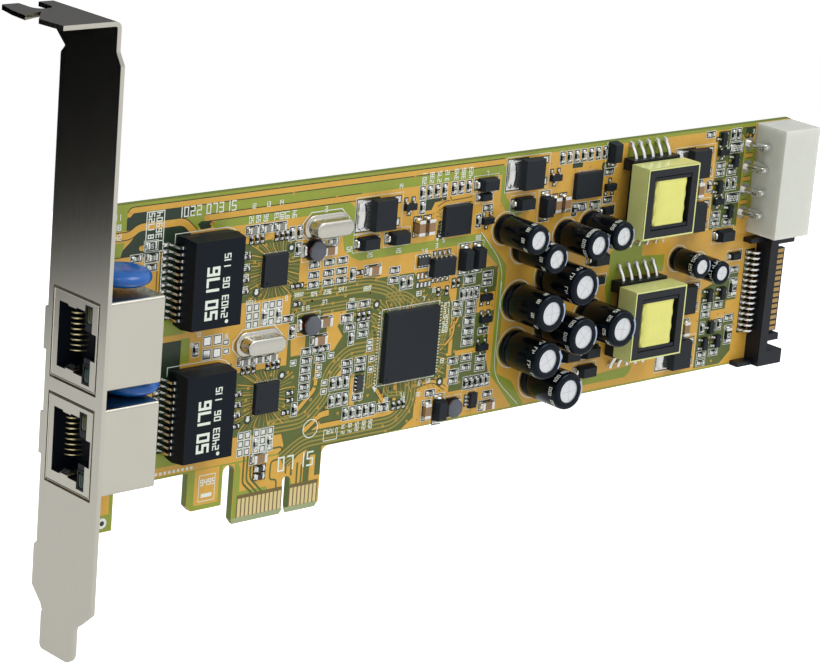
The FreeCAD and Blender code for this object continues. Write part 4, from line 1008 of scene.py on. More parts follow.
def uprightOutline(start, end, along, inset, corner=0.0):
    # An outline of the range's size less an inset, stood up to face out through the bracket.
    outline = rectangle((start.y, 0, start.z), (end.y, 0, end.z), along, inset, corner)
    return [(point[1], point[0], point[2]) for point in outline]


def makeJacks():
    piece = newPiece("jack_fittings", "jack_sheet")
    names = []
    for which in ("upper", "lower"):
        names += ["jack_contacts_" + which, "amber_lamp_" + which, "green_lamp_" + which]
        low, high = nodeRange("jack_shield_" + which)
        middle = (low.z + high.z) / 2
        for shift in inRow(8, port["pitch"]):
            addTube(piece, [(along, out, middle + shift) for along, out in (
                (2.9, 1.75), (3.1, 2.4), (3.6, 2.9), (4.4, 3.3), (5.3, 3.7))],
                port["wire"], wireGold, sides=8)
        # The comb that holds the wires apart.
        addBlock(piece, [5.1, 1.7, middle - 4.9], [11.9, 6.0, middle + 4.9], blackNylon)
        for kind, lens in (("amber_lamp_", amberLens), ("green_lamp_", greenLens)):
            start, end = nodeRange(kind + which)
            edge = port["frame"]
            addLoft(piece, [uprightOutline(start, end, start.x + along, inset) for along, inset in (
                (3, 0), (0.05, 0), (0.05, edge), (0.3, edge))], blackNylon)
            rings = []
            for step in range(5):
                turn = step / 4 * math.pi / 2
                rings.append(uprightOutline(
                    start, end, start.x + 0.3 - port["bulge"] * math.sin(turn),
                    edge + 0.55 * (1 - math.cos(turn)), port["corner"]))
            addLoft(piece, rings, lens)
        # The rolled rim round the shield's front, and the steel behind it that fills the opening.
        for along, inset, radius, sides in (
                (0.1, 0.15, port["rim"], 8), (0.62, -0.18, port["filler"], 6)):
            corners = uprightOutline(low, high, along, inset)
            for ends in zip(corners, corners[1:] + corners[:1]):
                addTube(piece, ends, radius, shieldSteel, sides=sides)
        # A tongue of the shield turned in at the bottom of the port.
        edge = high.z - 2.15
        addLoft(piece, [[(along, out, edge + shift) for along, shift in (
            (0.05, -0.02), (1.5, -0.75), (1.5, -0.6), (0.05, 0.1))] for out in port["tab"]], tin)
    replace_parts(makePiece(piece), *names)


module = {
    "rows": ("50176", "2403 06 115"), "sizes": (2.5, 1.35), "weights": (0.22, 0.19),
    "across": (30.2, 33.9), "dot": 0.4, "dots": (35.2, 11.0), "leadCount": 12,
    "leadPitch": 1.27, "leadHalf": 0.3, "padHalf": 0.4, "solderHalf": 0.36}


def makeModules():
    marks = newPiece("module_marks", "black_moulding")
    for name in named("isolation_module"):
        low, high = nodeRange(name)
        middle = (low.z + high.z) / 2
        face, bottom = high.y + 0.012, high.z - 2.3
        for text, size, weight, across in zip(
                module["rows"], module["sizes"], module["weights"], module["across"]):
            addDigits(marks, text, flatText(across, bottom, face, turned=True), size, legendInk,
                      weight)
        addSpot(marks, module["dots"][0], bottom + 0.9, module["dot"], face, legendInk)
        addSpot(marks, low.x + module["dots"][1], bottom + 0.6, module["dot"], face, sleeve)
        for shift in inRow(module["leadCount"], module["leadPitch"]):
            # Each lead leaves the body level, and its foot is soldered to a long pad.
            down = middle + shift
            lead, pad, foot = module["leadHalf"], module["padHalf"], module["solderHalf"]
            for first, last, inner, outer in (
                    (low.x - 3.0, low.x - 1.35, low.x - 0.5, low.x),
                    (high.x + 1.35, high.x + 2.9, high.x, high.x + 0.5)):
                addPad(first, down - pad, last, down + pad)
                addDome(solder, [first + 0.05, 0.0, down - foot], [last, 0.5, down + foot], tin,
                        levels=2)
                addBlock(solder, [inner, 2.75, down - lead], [outer, 3.3, down + lead], tin)
    makePiece(marks, solid=False)


wrap = {"rows": 22, "columns": 12, "lift": 0.12, "ragged": 0.12, "crease": 0.03}
wires = {"radius": 0.44, "pitch": 2.5, "count": 5, "start": 8.0, "reach": 11.35}


def makeTransformers():
    piece = newPiece("transformer_wraps", "yellow_tape")
    pins = newPiece("transformer_wires", "tinned_lead")
    for name in named("transformer_core"):
        which = name[len("transformer_core"):]
        low, high = nodeRange(name)
        across, down = centreOf(low, high)
        addFrame(piece, low.x - 0.15, low.z - 0.15, high.x + 0.15, high.z + 0.15, 0.34,
                 high.y + 0.03, bandTape)
        # The winding's outer wrap, creased and uneven at its edges.
        start, end = nodeRange("transformer_winding" + which)
        halfAcross, halfDown = halfOf(start, end)
        rows, columns = wrap["rows"], wrap["columns"]
        points = []
        for row in range(rows + 1):
            for column in range(columns + 1):
                shareAcross, shareDown = column / columns * 2 - 1, row / rows * 2 - 1
                ragged = wrap["ragged"] * math.sin(row * 0.9 + which.count("l")) * shareAcross ** 6
                crease = wrap["crease"] * math.sin(row * 0.8 + column * 0.35)
                edge = 0.5 * max(shareAcross ** 10, shareDown ** 10)
                points.append((
                    across + shareAcross * (halfAcross + 0.05) + ragged,
                    end.y + wrap["lift"] + crease + dice.uniform(-0.02, 0.02) - edge,
                    down + shareDown * (halfDown + 0.05)))
        faces = [
            (first, first + columns + 1, first + columns + 2, first + 1)
            for first in (row * (columns + 1) + column
                          for row in range(rows) for column in range(columns))]
        addFaces(piece, points, faces, windingTape)
        for shift in inRow(wires["count"], wires["pitch"]):
            root = across + shift
            for side in (-1, 1):
                lean = dice.uniform(-0.15, 0.15)
                first, last = wires["start"], wires["reach"]
                path = [(0, 1.95, first - 0.4), (0, 1.8, first + 0.5), (0.02, 1.45, first + 1.2),
                        (lean * 0.4, 1.0, first + 1.9), (lean * 0.8, 0.6, last - 0.8),
                        (lean, 0.42, last)]
                addTube(
                    pins, [(root + bent, out, down + side * reach) for bent, out, reach in path],
                    wires["radius"], tin)
                foot = down + side * (last - 0.5)
                addDome(solder, [root + lean - 0.5, 0.0, foot - 0.8],
                        [root + lean + 0.5, 0.45, foot + 0.8], tin, levels=2)
    makePiece(piece)
    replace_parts(makePiece(pins), *named("transformer_pins"))


inletTail = {
    "radius": 0.8, "root": 0.55, "hole": 0.7, "ring": 1.5,
    "path": ((3.0, 4.2), (1.3, 4.2), (0.75, 4.0), (0.56, 3.5), (0.55, 2.0), (0.55, 0.0))}
flatTail = {
    "radius": 0.3, "pad": (-0.3, 0.9, 0.38), "solder": (-0.2, 0.9, 0.34), "strip": (1.1, 2.6),
    "path": ((2.4, 1.9), (1.5, 1.85), (0.95, 1.3), (0.75, 0.5), (0.1, 0.3))}


def addTail(piece, left, down, plan, sides):
    path = [(left + along, out, down) for along, out in plan["path"]]
    addTube(piece, path, plan["radius"], tin, sides)


def makeInletTails():
    # Round tails bent down from the four-way inlet into the board.
    piece = newPiece("inlet_tails", "tinned_lead")
    for start, end in blocks("power_inlet_pins"):
        middle = (start[2] + end[2]) / 2
        addTail(piece, start[0], middle, inletTail, 14)
        addRing(copper, start[0] + inletTail["root"], middle, inletTail["hole"], inletTail["ring"],
                layers["pad"], tin)
    makePiece(piece)


def obround(low, high, out, inset):
    # A rounded oblong of the range's size less an inset.
    across, down = centreOf(low, high)
    halfAcross, halfDown = (half - inset for half in halfOf(low, high))
    ring = []
    for side, first in ((1, 0), (-1, 180)):
        for step in range(13):
            turn = math.radians(first + step * 15)
            ring.append((
                across + side * (halfAcross - halfDown) + halfDown * math.sin(turn), out,
                down + halfDown * math.cos(turn)))
    return ring


crystal = {"brim": 0.7}


def makeCrystals():
    # A drawn steel can on a thin flange, both with rounded ends and edges.
    piece = newPiece("crystals", "can_steel")
    names = named("crystal")
    for name in names:
        low, high = nodeRange(name)
        brim, height = crystal["brim"], high.y
        addLoft(piece, [obround(low, high, out, inset) for out, inset in (
            (0.15, 0.1), (0.3, 0.0), (0.5, 0.0), (0.6, 0.1), (0.62, brim - 0.25),
            (0.75, brim), (height - 0.55, brim + 0.05), (height - 0.25, brim + 0.16),
            (height - 0.08, brim + 0.34), (height, brim + 0.62))], crystalSteel)
    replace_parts(makePiece(piece, sharp=60), *names)


def makeFlatInlet():
    # Tinned tails behind the flat inlet, soldered down, over a dark strip under its back edge.
    piece = newPiece("inlet_comb", "black_nylon")
    tails = [pair for pair in blocks("flat_inlet_contacts") if pair[0][1] < 0.4]
    left = max(pair[0][0] for pair in tails)
    top, bottom = tails[0][0][2], tails[-1][1][2]
    for start, end in tails:
        middle = (start[2] + end[2]) / 2
        addTail(piece, left, middle, flatTail, 8)
        first, last, half = flatTail["pad"]
        addPad(left + first, middle - half, left + last, middle + half)
        first, last, half = flatTail["solder"]
        addDome(solder, [left + first, 0.0, middle - half], [left + last, 0.5, middle + half], tin,
                levels=2)
    first, last = flatTail["strip"]
    addPatch(clearance, left + first, top - 0.4, left + last, bottom + 0.4, layers["strip"],
             blackNylon)
    makePiece(piece)


makeDiscs()
makeJacks()
makeFlatInlet()
makeCrystals()
makeModules()
makeTransformers()
makeInletTails()
makePiece(solder)
print("details ready")

masks = {"green": maskOnLaminate, "dark": maskDark, "gold": maskOnCopper, "olive": maskOnTraces}

# Areas of the component face, from the lowest to the uppermost, as (across, down) corners.
areas = (
    ("green", ((1.6, 37.7), (183.4, 37.7), (183.4, 38.35), (1.6, 38.35))),
    ("green", ((1.6, 38.3), (16.4, 38.3), (16.4, 42.6), (1.6, 42.6))),
    ("green", ((1.6, 44.8), (15.2, 44.8), (14.2, 48.0), (1.6, 48.0))),
    ("dark", ((15.4, 40.4), (16.2, 39.5), (31.4, 39.5), (30.2, 41.7), (18, 41.7), (17, 42.6),
              (15.4, 42.6))),
    ("dark", ((17.9, 43.1), (28.3, 43.1), (30.8, 45.3), (30.8, 47.6), (29, 64), (23.6, 64),
              (23.6, 48), (14.2, 48), (14.8, 46.2), (16.5, 44.8))),
    ("green", ((31.4, 39.45), (108.5, 39.45), (109.8, 40.1), (110.4, 41.4), (110.4, 46.4),
               (112.2, 48.7), (115.3, 50.3), (113.6, 50.8), (110.5, 49.3), (108.8, 47),
               (108.8, 41.6), (33.6, 41.6), (33.3, 42.8), (31.8, 44.5), (29, 41.7), (30.4, 41))),
    ("green", ((36.2, 42.8), (68.4, 42.8), (69.4, 43.4), (70.8, 45), (71, 53.3), (104.6, 53.3),
               (110.5, 59), (112.2, 61), (112.2, 84), (116.5, 86.2), (120.8, 92), (117.3, 92),
               (112.9, 86.7), (110.3, 84), (110.3, 61.3), (103.8, 55.1), (72.3, 55.1),
               (70.2, 54.2), (68.2, 52.6), (67.7, 50.3), (68.5, 45.3), (66, 44.6), (36, 44.5),
               (35.2, 43.8))),
    ("dark", ((31.8, 43.2), (32.6, 42.7), (34.8, 42.8), (35.6, 43.3), (34.8, 44.2), (32.6, 44.3))),
    ("green", ((24.9, 60.8), (27.6, 60.8), (28.5, 62.3), (30.6, 64.1), (24.9, 64.1))),
    ("dark", ((24.6, 65.3), (29.6, 65.3), (29.6, 72.5), (28, 87.2), (23.6, 87.2), (23.6, 65.3))),
    ("green", ((29.6, 65.1), (31.6, 65.1), (31.7, 69.9), (29.6, 69.9))),
    ("green", ((24.8, 87.1), (27.6, 87.1), (29, 88.6), (31.4, 90.0), (24.8, 90.0))),
    ("green", ((144.4, 38.3), (156.1, 38.3), (156.2, 39.9), (157.3, 41.6), (154, 42.3),
               (144.4, 42))),
    ("dark", ((179.2, 38.4), (183.3, 38.4), (183.4, 39.7), (182.7, 41.1), (179.4, 40.8))),
    ("green", ((142.3, 61.7), (145.4, 60.4), (151.8, 60.4), (151.8, 63.7), (158.8, 64.2),
               (158.8, 67.8), (142.3, 67.8))),
    ("green", ((141.6, 67), (144, 67), (144, 74), (142.9, 74), (141.6, 70))),
    ("green", ((137.6, 88.7), (152.2, 87.9), (151.6, 89.6), (150.2, 90.4), (137.6, 90.4))),
    ("green", ((1.6, 91.85), (183.5, 91.85), (183.5, 92.2), (1.6, 92.2))),
    ("olive", ((43.4, 48.4), (54, 48.0), (57.2, 50), (57.2, 60), (54, 59.8), (43.4, 60))),
    ("olive", ((43.4, 73.8), (57.2, 74.0), (57.2, 87.6), (43.4, 86.8))),
    ("olive", ((55.6, 59.3), (87, 59.3), (89.4, 62.6), (96.5, 64), (98, 67.5), (98, 82.8),
               (89.9, 84), (89.9, 92), (62, 92), (56.6, 91), (55.6, 88))),
    ("dark", ((57, 61.2), (76, 61.2), (76, 61.9), (57, 61.9))),
    ("dark", ((80.4, 82.6), (84.2, 82.6), (84.2, 85.4), (80.6, 85.4))),
    ("dark", ((63.9, 82.4), (67, 80.8), (67, 84.6), (64.4, 84.6))),
    ("dark", ((75.5, 70.8), (78, 70.2), (78, 73.2), (75.5, 73.2))),
    ("gold", ((64, 63.3), (70, 63.3), (70, 65.7), (67.9, 67.8), (69.4, 70), (67.4, 72.6),
              (65.2, 72.8), (65.2, 67.6), (64, 66.5))),
    ("gold", ((56, 66), (60, 66), (60, 72.4), (56.6, 72.4))),
    ("gold", ((67.6, 77.6), (70.6, 74.8), (70.6, 78), (67.8, 78.2))),
    ("gold", ((72.4, 79), (73.6, 79), (73.8, 84.8), (72.4, 84.8))),
    ("gold", ((77.7, 59.9), (80.3, 59.9), (81.9, 61.3), (79.9, 62), (78.5, 61.2))),
    ("gold", ((80.2, 83.6), (81.1, 83.6), (81.1, 85.8), (80.2, 85.8))),
    ("gold", ((89.9, 84), (95, 84), (95, 92), (86.8, 92), (89.9, 90))),
    ("gold", ((97.4, 77.6), (100.3, 77.6), (100.3, 78.6), (98, 78.8))),
    ("olive", ((99, 60.6), (109.9, 60.6), (109.9, 86), (99, 86))),
    ("gold", ((104.9, 66), (109.8, 66), (109.8, 70), (104.9, 70))),
    ("gold", ((100, 77.4), (105.9, 77.4), (105.9, 78.5), (100, 78.5))),
    ("gold", ((108.7, 72.4), (109.9, 72.4), (109.9, 84), (108.7, 80))),
    ("dark", ((87.7, 44.6), (94, 44.6), (94, 45.3), (91, 45.4), (90.2, 46.9), (87.7, 46.9))),
    ("dark", ((92.4, 49.4), (94, 49.4), (94, 53), (92, 53.1))),
    ("dark", ((128.5, 41.2), (131.4, 41.2), (131.4, 42.3), (128.5, 42.3))),
    ("olive", ((171.8, 38.6), (180.4, 38.6), (180.4, 60.3), (171.8, 60.3))),
    ("olive", ((171.8, 73.8), (183, 70), (183, 89), (180, 91.6), (171.8, 91.6))),
    ("gold", ((175.4, 79), (179.9, 79), (179.9, 81.1), (175.4, 81.1))),
    ("gold", ((179.9, 77.2), (184, 77.2), (184, 80.4), (179.9, 80.4))),
    ("green", ((180.6, 42.5), (184.2, 42.5), (184.2, 57), (181.8, 58), (180.6, 56.4))),
    ("green", ((44.6, 92.4), (45.4, 92.2), (46.0, 93.6), (46.0, 98.2), (52.6, 98.2), (53.4, 99.2),
               (46.0, 99.2), (46.0, 103.5), (44.6, 103.5))),
    ("green", ((58.6, 97.2), (59.2, 99.2), (59.2, 103.5), (58.6, 103.5))),
    ("olive", ((62.9, 91), (66.2, 90), (66.2, 98), (64.8, 98), (64.8, 93.6), (63.4, 93.6),
               (63.4, 99.2), (61.9, 99.2), (61.9, 94))),
    ("green", ((33.3, 92.2), (41.6, 92.2), (41.6, 100.1), (34.5, 100.1), (33.3, 98.9))),
    ("gold", ((34.9, 92), (40.8, 92), (40.8, 99.2), (35.2, 99.2), (34.9, 98.8))),
    ("green", ((1.6, 92.2), (15.7, 92.2), (15.7, 100.5), (1.6, 100.5))),
    ("gold", ((3, 92), (14.9, 92), (14.9, 97.2), (3, 97.2))))

# Wide conductors under the mask, as (width, route).
conductors = (
    (1.05, ((15.9, 39.6), (16.5, 38.9), (109, 38.9))),
    (1.15, ((33.8, 42.2), (68, 42.2), (71.5, 42.2))),
    (1.35, ((8, 43.6), (16.4, 43.6), (18.2, 42.3), (28.6, 42.3), (31.2, 44.7))),
    (1.0, ((19, 46.3), (20.6, 46.3))), (0.9, ((13, 48.1), (17.6, 48.1))),
    (0.75, ((23.4, 48), (23.4, 55.5))),
    (1.35, ((57.4, 94.4), (64.2, 88.4), (66, 88.1), (85.4, 88.1))),
    (1.2, ((61.5, 88), (64.8, 85.6), (67.4, 85.4))), (0.9, ((84.4, 82), (84.4, 86))),
    (0.9, ((58.2, 84.6), (63.4, 79.8), (63.4, 74.6))), (0.7, ((79, 82), (82, 86))),
    (0.8, ((92, 46.8), (94, 45.9), (96, 46), (101, 45.8))),
    (0.6, ((56, 58.7), (70, 58.7), (78, 59.2))), (0.5, ((98, 72.6), (100, 71), (100, 66))),
    (0.5, ((96, 76.5), (99, 74), (99, 71))), (0.6, ((92, 83), (95, 83), (98, 85))),
    (0.9, ((181.2, 44.8), (183.2, 44.8))), (0.9, ((181.2, 50), (183.2, 50))),
    (0.9, ((181.2, 55.2), (183.2, 55.2))))

# Gaps in the mask over copper round the tongue's traces, as (width, route).
gaps = (
    (0.42, ((46.7, 90.6), (46.7, 96.6), (49.4, 99.2))),
    (0.4, ((47.6, 90.2), (47.6, 96.2), (50.6, 99.2))),
    (0.42, ((48.5, 93.4), (48.5, 95.8), (51.8, 99.2))),
    (0.35, ((53.4, 90.6), (55.8, 90.6), (56.4, 91.4), (56.4, 93.0), (53.5, 93.2), (53.4, 97.0),
            (55.2, 97.2), (55.2, 99.2))),
    (0.35, ((57.2, 89.6), (55.8, 91.8))), (0.35, ((60.6, 88.8), (57.4, 93.2), (57.4, 96.4))),
    (0.45, ((61.2, 90.6), (58.8, 94.2), (58.8, 97))), (0.4, ((61.4, 95.2), (61.4, 99.2))),
    (0.4, ((60.3, 94.6), (60.3, 99.2))), (0.35, ((64.9, 88.6), (61.6, 88.6), (59.4, 91.4))))

# Bundles of fine traces, as (count, pitch, route).
bundles = (
    (4, 0.74, ((56, 60.4), (75.5, 60.4), (81, 62), (84.5, 65.6))),
    (3, 0.7, ((56, 63.6), (74.5, 63.6), (78.5, 65), (80, 66.4))),
    (3, 0.7, ((80, 63.6), (85, 63.4), (89, 66.5))),
    (4, 0.84, ((79.5, 73.4), (71, 73.4), (66.2, 77.5), (66.2, 81.5), (61, 86.1), (52, 86.1))),
    (4, 0.84, ((56, 93.4), (61.4, 90.3), (84.6, 90.3), (88.5, 87), (88.5, 82.2))),
    (3, 0.6, ((76.4, 70), (77.4, 75), (77.4, 82))), (2, 0.7, ((73, 64.9), (77.6, 68), (79, 71))),
    (3, 0.7, ((95.4, 67), (97.3, 70), (95.6, 76))), (2, 0.7, ((95.4, 81.5), (97, 79), (100, 79))),
    (2, 0.7, ((81.6, 82.4), (82.4, 84), (86.6, 84.3))))

# Fans of traces between a chip's side and the parts around it, as (count, first and last outer
# end, first and last end at the chip).
fans = (
    (11, (45.0, 48.8), (53.6, 48.8), (48.3, 51.0), (53.3, 51.0)),
    (11, (43.8, 50.6), (43.8, 58.6), (47.9, 51.5), (47.9, 57.0)),
    (11, (57.4, 50.0), (57.4, 60.0), (53.7, 51.5), (53.7, 57.0)),
    (11, (44.8, 60.2), (57.0, 60.2), (48.3, 57.4), (53.3, 57.4)),
    (11, (45.0, 74.4), (53.6, 74.4), (48.3, 76.6), (53.3, 76.6)),
    (11, (43.8, 76.2), (43.8, 84.2), (47.9, 77.1), (47.9, 82.6)),
    (11, (57.4, 75.6), (57.4, 85.6), (53.7, 77.1), (53.7, 82.6)),
    (11, (44.8, 85.8), (57.0, 85.8), (48.3, 82.8), (53.3, 82.8)),
    (19, (76.8, 66.4), (76.8, 81.8), (79.8, 68), (79.8, 80)),
    (16, (97.4, 66.4), (97.4, 81.8), (94.1, 68), (94.1, 80)),
    (14, (80, 64.2), (96, 64.2), (81.6, 66.6), (92.4, 66.6)),
    (12, (81.2, 84.4), (95, 84.4), (81.6, 81.3), (92.4, 81.3)),
    (8, (91.6, 46.4), (91.6, 53.2), (93.4, 47.4), (93.4, 51.8)),
    (8, (101.4, 46.4), (101.4, 53.2), (100.7, 47.4), (100.7, 51.8)))


# Fields of tented vias, as (left, top, right, bottom, count).
viaFields = (
    (56, 59.5, 97, 66.5, 60), (44, 48, 58, 60, 26), (44, 74, 58, 86, 26), (60, 73, 79, 86, 40),
    (95, 60, 110, 86, 44), (80, 82, 98, 92, 34), (171, 39, 184, 61, 36), (171, 73, 184, 91, 30),
    (87, 45, 94, 53, 10), (122, 38, 142, 43, 14), (104, 42, 110, 52, 10), (30, 38.4, 100, 44, 10))
fiducials = (
    (54.8, 50.4), (46.9, 58.3), (54.7, 75.9), (46.9, 83.7), (96.4, 83.4), (77.7, 64.7),
    (138, 42.8), (93, 52.3))
# Rows and columns of larger pads that carry no part, as (acrosses, downs, half sizes).
emptyGrids = (
    ((35.8, 38.3), (66.4, 69.0), (0.75, 0.75)),
    ((45.5, 47.2, 49.4, 51.0, 52.8), (61.2, 62.9, 64.6, 86.8, 88.5, 90.2), (0.45, 0.5)))
# Small pads that carry no part, most of them round the switch chip.
emptyPads = (
    (76.7, 72.3), (76.7, 73.6), (77.5, 75.8), (77.5, 78), (65.6, 79), (65.6, 80.8), (63.9, 75.6),
    (63.9, 77.2), (57.3, 73.8), (66.8, 73.6), (40.3, 67.2), (40.5, 69))
trace = {
    "clear": 0.36, "cap": 0.00205, "share": 0.45, "fan": 0.17, "bend": 0.55, "stray": 0.2,
    "via": 0.3, "viaHole": 0.13}
testHole = {"at": (13.5, 98.8), "radius": 0.5, "ring": 1.05}


def rounded(route, radius=1.2, steps=4):
    # The same route with each corner turned along a curve.
    route = [Vector(point) for point in route]
    path = [route[0]]
    for before, corner, after in zip(route, route[1:], route[2:]):
        reach = min(radius, (corner - before).length / 2, (after - corner).length / 2)
        start = corner + (before - corner).normalized() * reach
        end = corner + (after - corner).normalized() * reach
        for step in range(steps + 1):
            share = step / steps
            path.append(start.lerp(corner, share).lerp(corner.lerp(end, share), share))
    return path + [route[-1]]


def shifted(path, distance):
    moved = []
    for index, point in enumerate(path):
        run = path[min(index + 1, len(path) - 1)] - path[max(index - 1, 0)]
        run.normalize()
        moved.append(point + Vector((-run.y, run.x)) * distance)
    return moved


tongue = {
    "fingersTop": 98.9, "gapBottom": 103.5, "apart": 1.0, "beside": 0.3, "bevel": 1.3,
    "bevelDeep": 0.45, "bevelLift": 0.02}


def makeTongue():
    # Dark mask between the gold fingers, and bare laminate on the bevel below them.
    bottom = nodeRange("circuit_board")[1].z
    groups = [[]]
    for low, high in sorted(blocks("edge_contacts"), key=lambda pair: pair[0][0]):
        if groups[-1] and low[0] - groups[-1][-1] > tongue["apart"]:
            groups.append([])
        groups[-1] += [low[0], high[0]]
    for group in groups:
        left, right = group[0] - tongue["beside"], group[-1] + tongue["beside"]
        addPatch(copper, left, tongue["fingersTop"], right, tongue["gapBottom"], layers["fans"],
                 fingerGap)
        top, lift = bottom - tongue["bevel"], tongue["bevelLift"]
        deep = lift - tongue["bevelDeep"]
        addFaces(copper, [(left - 0.9, lift, top), (left - 0.3, deep, bottom),
                          (right, deep, bottom), (right + 0.4, lift, top)],
                 [(0, 1, 2, 3)], bareLaminate)


def addFiducial(across, down, dot=0.45, clear=0.95):
    addSpot(copper, across, down, clear, layers["gap"], maskDark, steps=20)
    addSpot(copper, across, down, dot, layers["pad"], tin, steps=16)


emptyPlace = {"away": 0.34, "line": 0.14, "under": 0.039, "over": 0.0505}


def addEmptyPlace(across, down, halfWide, halfHigh):
    # A pad that carries no part, in its own printed frame on darker mask.
    addPad(across - halfWide, down - halfHigh, across + halfWide, down + halfHigh)
    halfWide += emptyPlace["away"]
    halfHigh += emptyPlace["away"]
    sides = (across - halfWide, down - halfHigh, across + halfWide, down + halfHigh)
    addPatch(clearance, *sides, emptyPlace["under"], maskOnTraces)
    addFrame(legend, *sides, emptyPlace["line"], emptyPlace["over"], legendInk)


def makeCopper():
    for number, (kind, outline) in enumerate(areas):
        out = layers["areas"] + number * layers["areaStep"]
        addFlat(copper, list(outline), out, masks[kind])
    # Each trace has a height of its own within its layer.
    for number, (width, route) in enumerate(conductors):
        path = rounded(route)
        out = layers["conductors"] + number * 0.0001
        addTrace(copper, path, width + trace["clear"], out, maskDark)
        addTrace(copper, path, width, out + 0.002, maskOnCopper)
        addSpot(copper, path[0].x, path[0].y, width / 2, out + trace["cap"], maskOnCopper)
    for number, (width, route) in enumerate(gaps):
        out = layers["gaps"] + number * 0.00005
        addTrace(copper, rounded(route, 0.8), width, out, maskOnTraces)
    for number, (count, pitch, route) in enumerate(bundles):
        path = rounded(route, 2.2)
        out = layers["bundles"] + number * 0.0001
        addTrace(copper, path, count * pitch + 0.3, out, maskOnTraces)
        for shift in inRow(count, pitch):
            addTrace(
                copper, shifted(path, shift), pitch * trace["share"], out + 0.0012, traceMask)
    for count, first, last, nearFirst, nearLast in fans:
        for line in range(count):
            share = line / (count - 1)
            far = Vector(first).lerp(Vector(last), share)
            near = Vector(nearFirst).lerp(Vector(nearLast), share)
            stray = [dice.uniform(-trace["stray"], trace["stray"]) for axis in range(2)]
            bend = near.lerp(far, trace["bend"]) + Vector(stray)
            material = traceMask if line % 3 else maskOnCopper
            out = layers["fans"] + line * 0.00005
            addTrace(copper, [near, bend, far], trace["fan"], out, material)
    # Tented vias where traces change sides.
    for left, top, right, bottom, count in viaFields:
        for step in range(count):
            at = dice.uniform(left, right), dice.uniform(top, bottom)
            addSpot(copper, *at, trace["via"], layers["vias"], maskOnCopper, steps=10)
            addSpot(copper, *at, trace["viaHole"], layers["viaHoles"], maskDark, steps=8)
    for at in fiducials:
        addFiducial(*at)
    addSpot(copper, *testHole["at"], testHole["radius"], layers["gap"], maskDark)
    addRing(copper, *testHole["at"], testHole["radius"], testHole["ring"], layers["pad"], tin)
    for acrosses, downs, half in emptyGrids:
        for across in acrosses:
            for down in downs:
                addEmptyPlace(across, down, *half)
    for step in range(4):
        left = 87.9 + step * 1.05
        addPad(left, 59.7, left + 0.5, 60.8)
        addPad(left, 61.7, left + 0.5, 62.6)
    for at in emptyPads:
        addEmptyPlace(*at, 0.45, 0.3)


# Plain printed numbers, as (across, down, text, height).
labels = (
    (80.9, 40.7, "14", 0.85), (62.6, 43.2, "2", 1.0), (74.3, 53.8, "25", 0.85),
    (81.8, 53.8, "26", 0.85), (92.2, 54.0, "3", 0.9), (93.9, 53.0, "5", 0.9),
    (88.5, 54.8, "716", 0.7), (68.8, 52.0, "52", 0.9), (104.4, 40.5, "7", 0.9),
    (103.0, 53.6, "88", 0.9), (60.2, 60.0, "104", 0.8), (63.8, 60.0, "236", 0.8),
    (67.6, 60.0, "541", 0.8), (74.0, 60.6, "880", 0.8), (56.4, 59.7, "3802", 0.7),
    (58.6, 62.6, "615", 0.8), (63.6, 62.0, "37", 0.8), (70.6, 62.6, "08", 0.8),
    (81.6, 84.6, "60", 0.8), (85.8, 84.2, "71", 0.8), (86.2, 85.0, "28", 0.7),
    (66.8, 89.0, "18", 0.8), (68.4, 89.0, "07", 0.8), (54.2, 59.9, "9", 0.9),
    (44.6, 59.7, "6031", 0.7), (182.6, 39.1, "31", 0.8), (157.6, 60.6, "4", 0.9),
    (43.6, 50.0, "21", 0.8), (43.6, 52.4, "34", 0.8), (43.6, 54.4, "50", 0.8),
    (43.6, 56.8, "66", 0.8), (43.6, 77.6, "15", 0.8), (43.6, 79.8, "27", 0.8),
    (43.6, 81.8, "48", 0.8), (49.3, 66.0, "8", 0.9), (33.0, 64.4, "70", 0.8),
    (39.6, 65.6, "16", 0.8), (31.8, 66.3, "94", 0.8), (88.1, 63.4, "83", 0.9),
    (91.9, 63.2, "16", 0.9), (89.9, 64.7, "7", 0.8), (95.7, 78.5, "19", 0.9),
    (90.6, 82.4, "6", 0.9), (90.2, 84.8, "30", 0.8), (92.6, 82.3, "58", 0.8))


def label(text, across, down, size, turned=False, weight=0.2):
    addDigits(
        legend, text, flatText(across, down, layers["ink"], turned), size, legendInk, weight=weight)


def printPatch(left, top, right, bottom):
    addPatch(legend, left, top, right, bottom, layers["ink"], legendInk)


def printTrace(route, width):
    addTrace(legend, route, width, layers["ink"], legendInk)


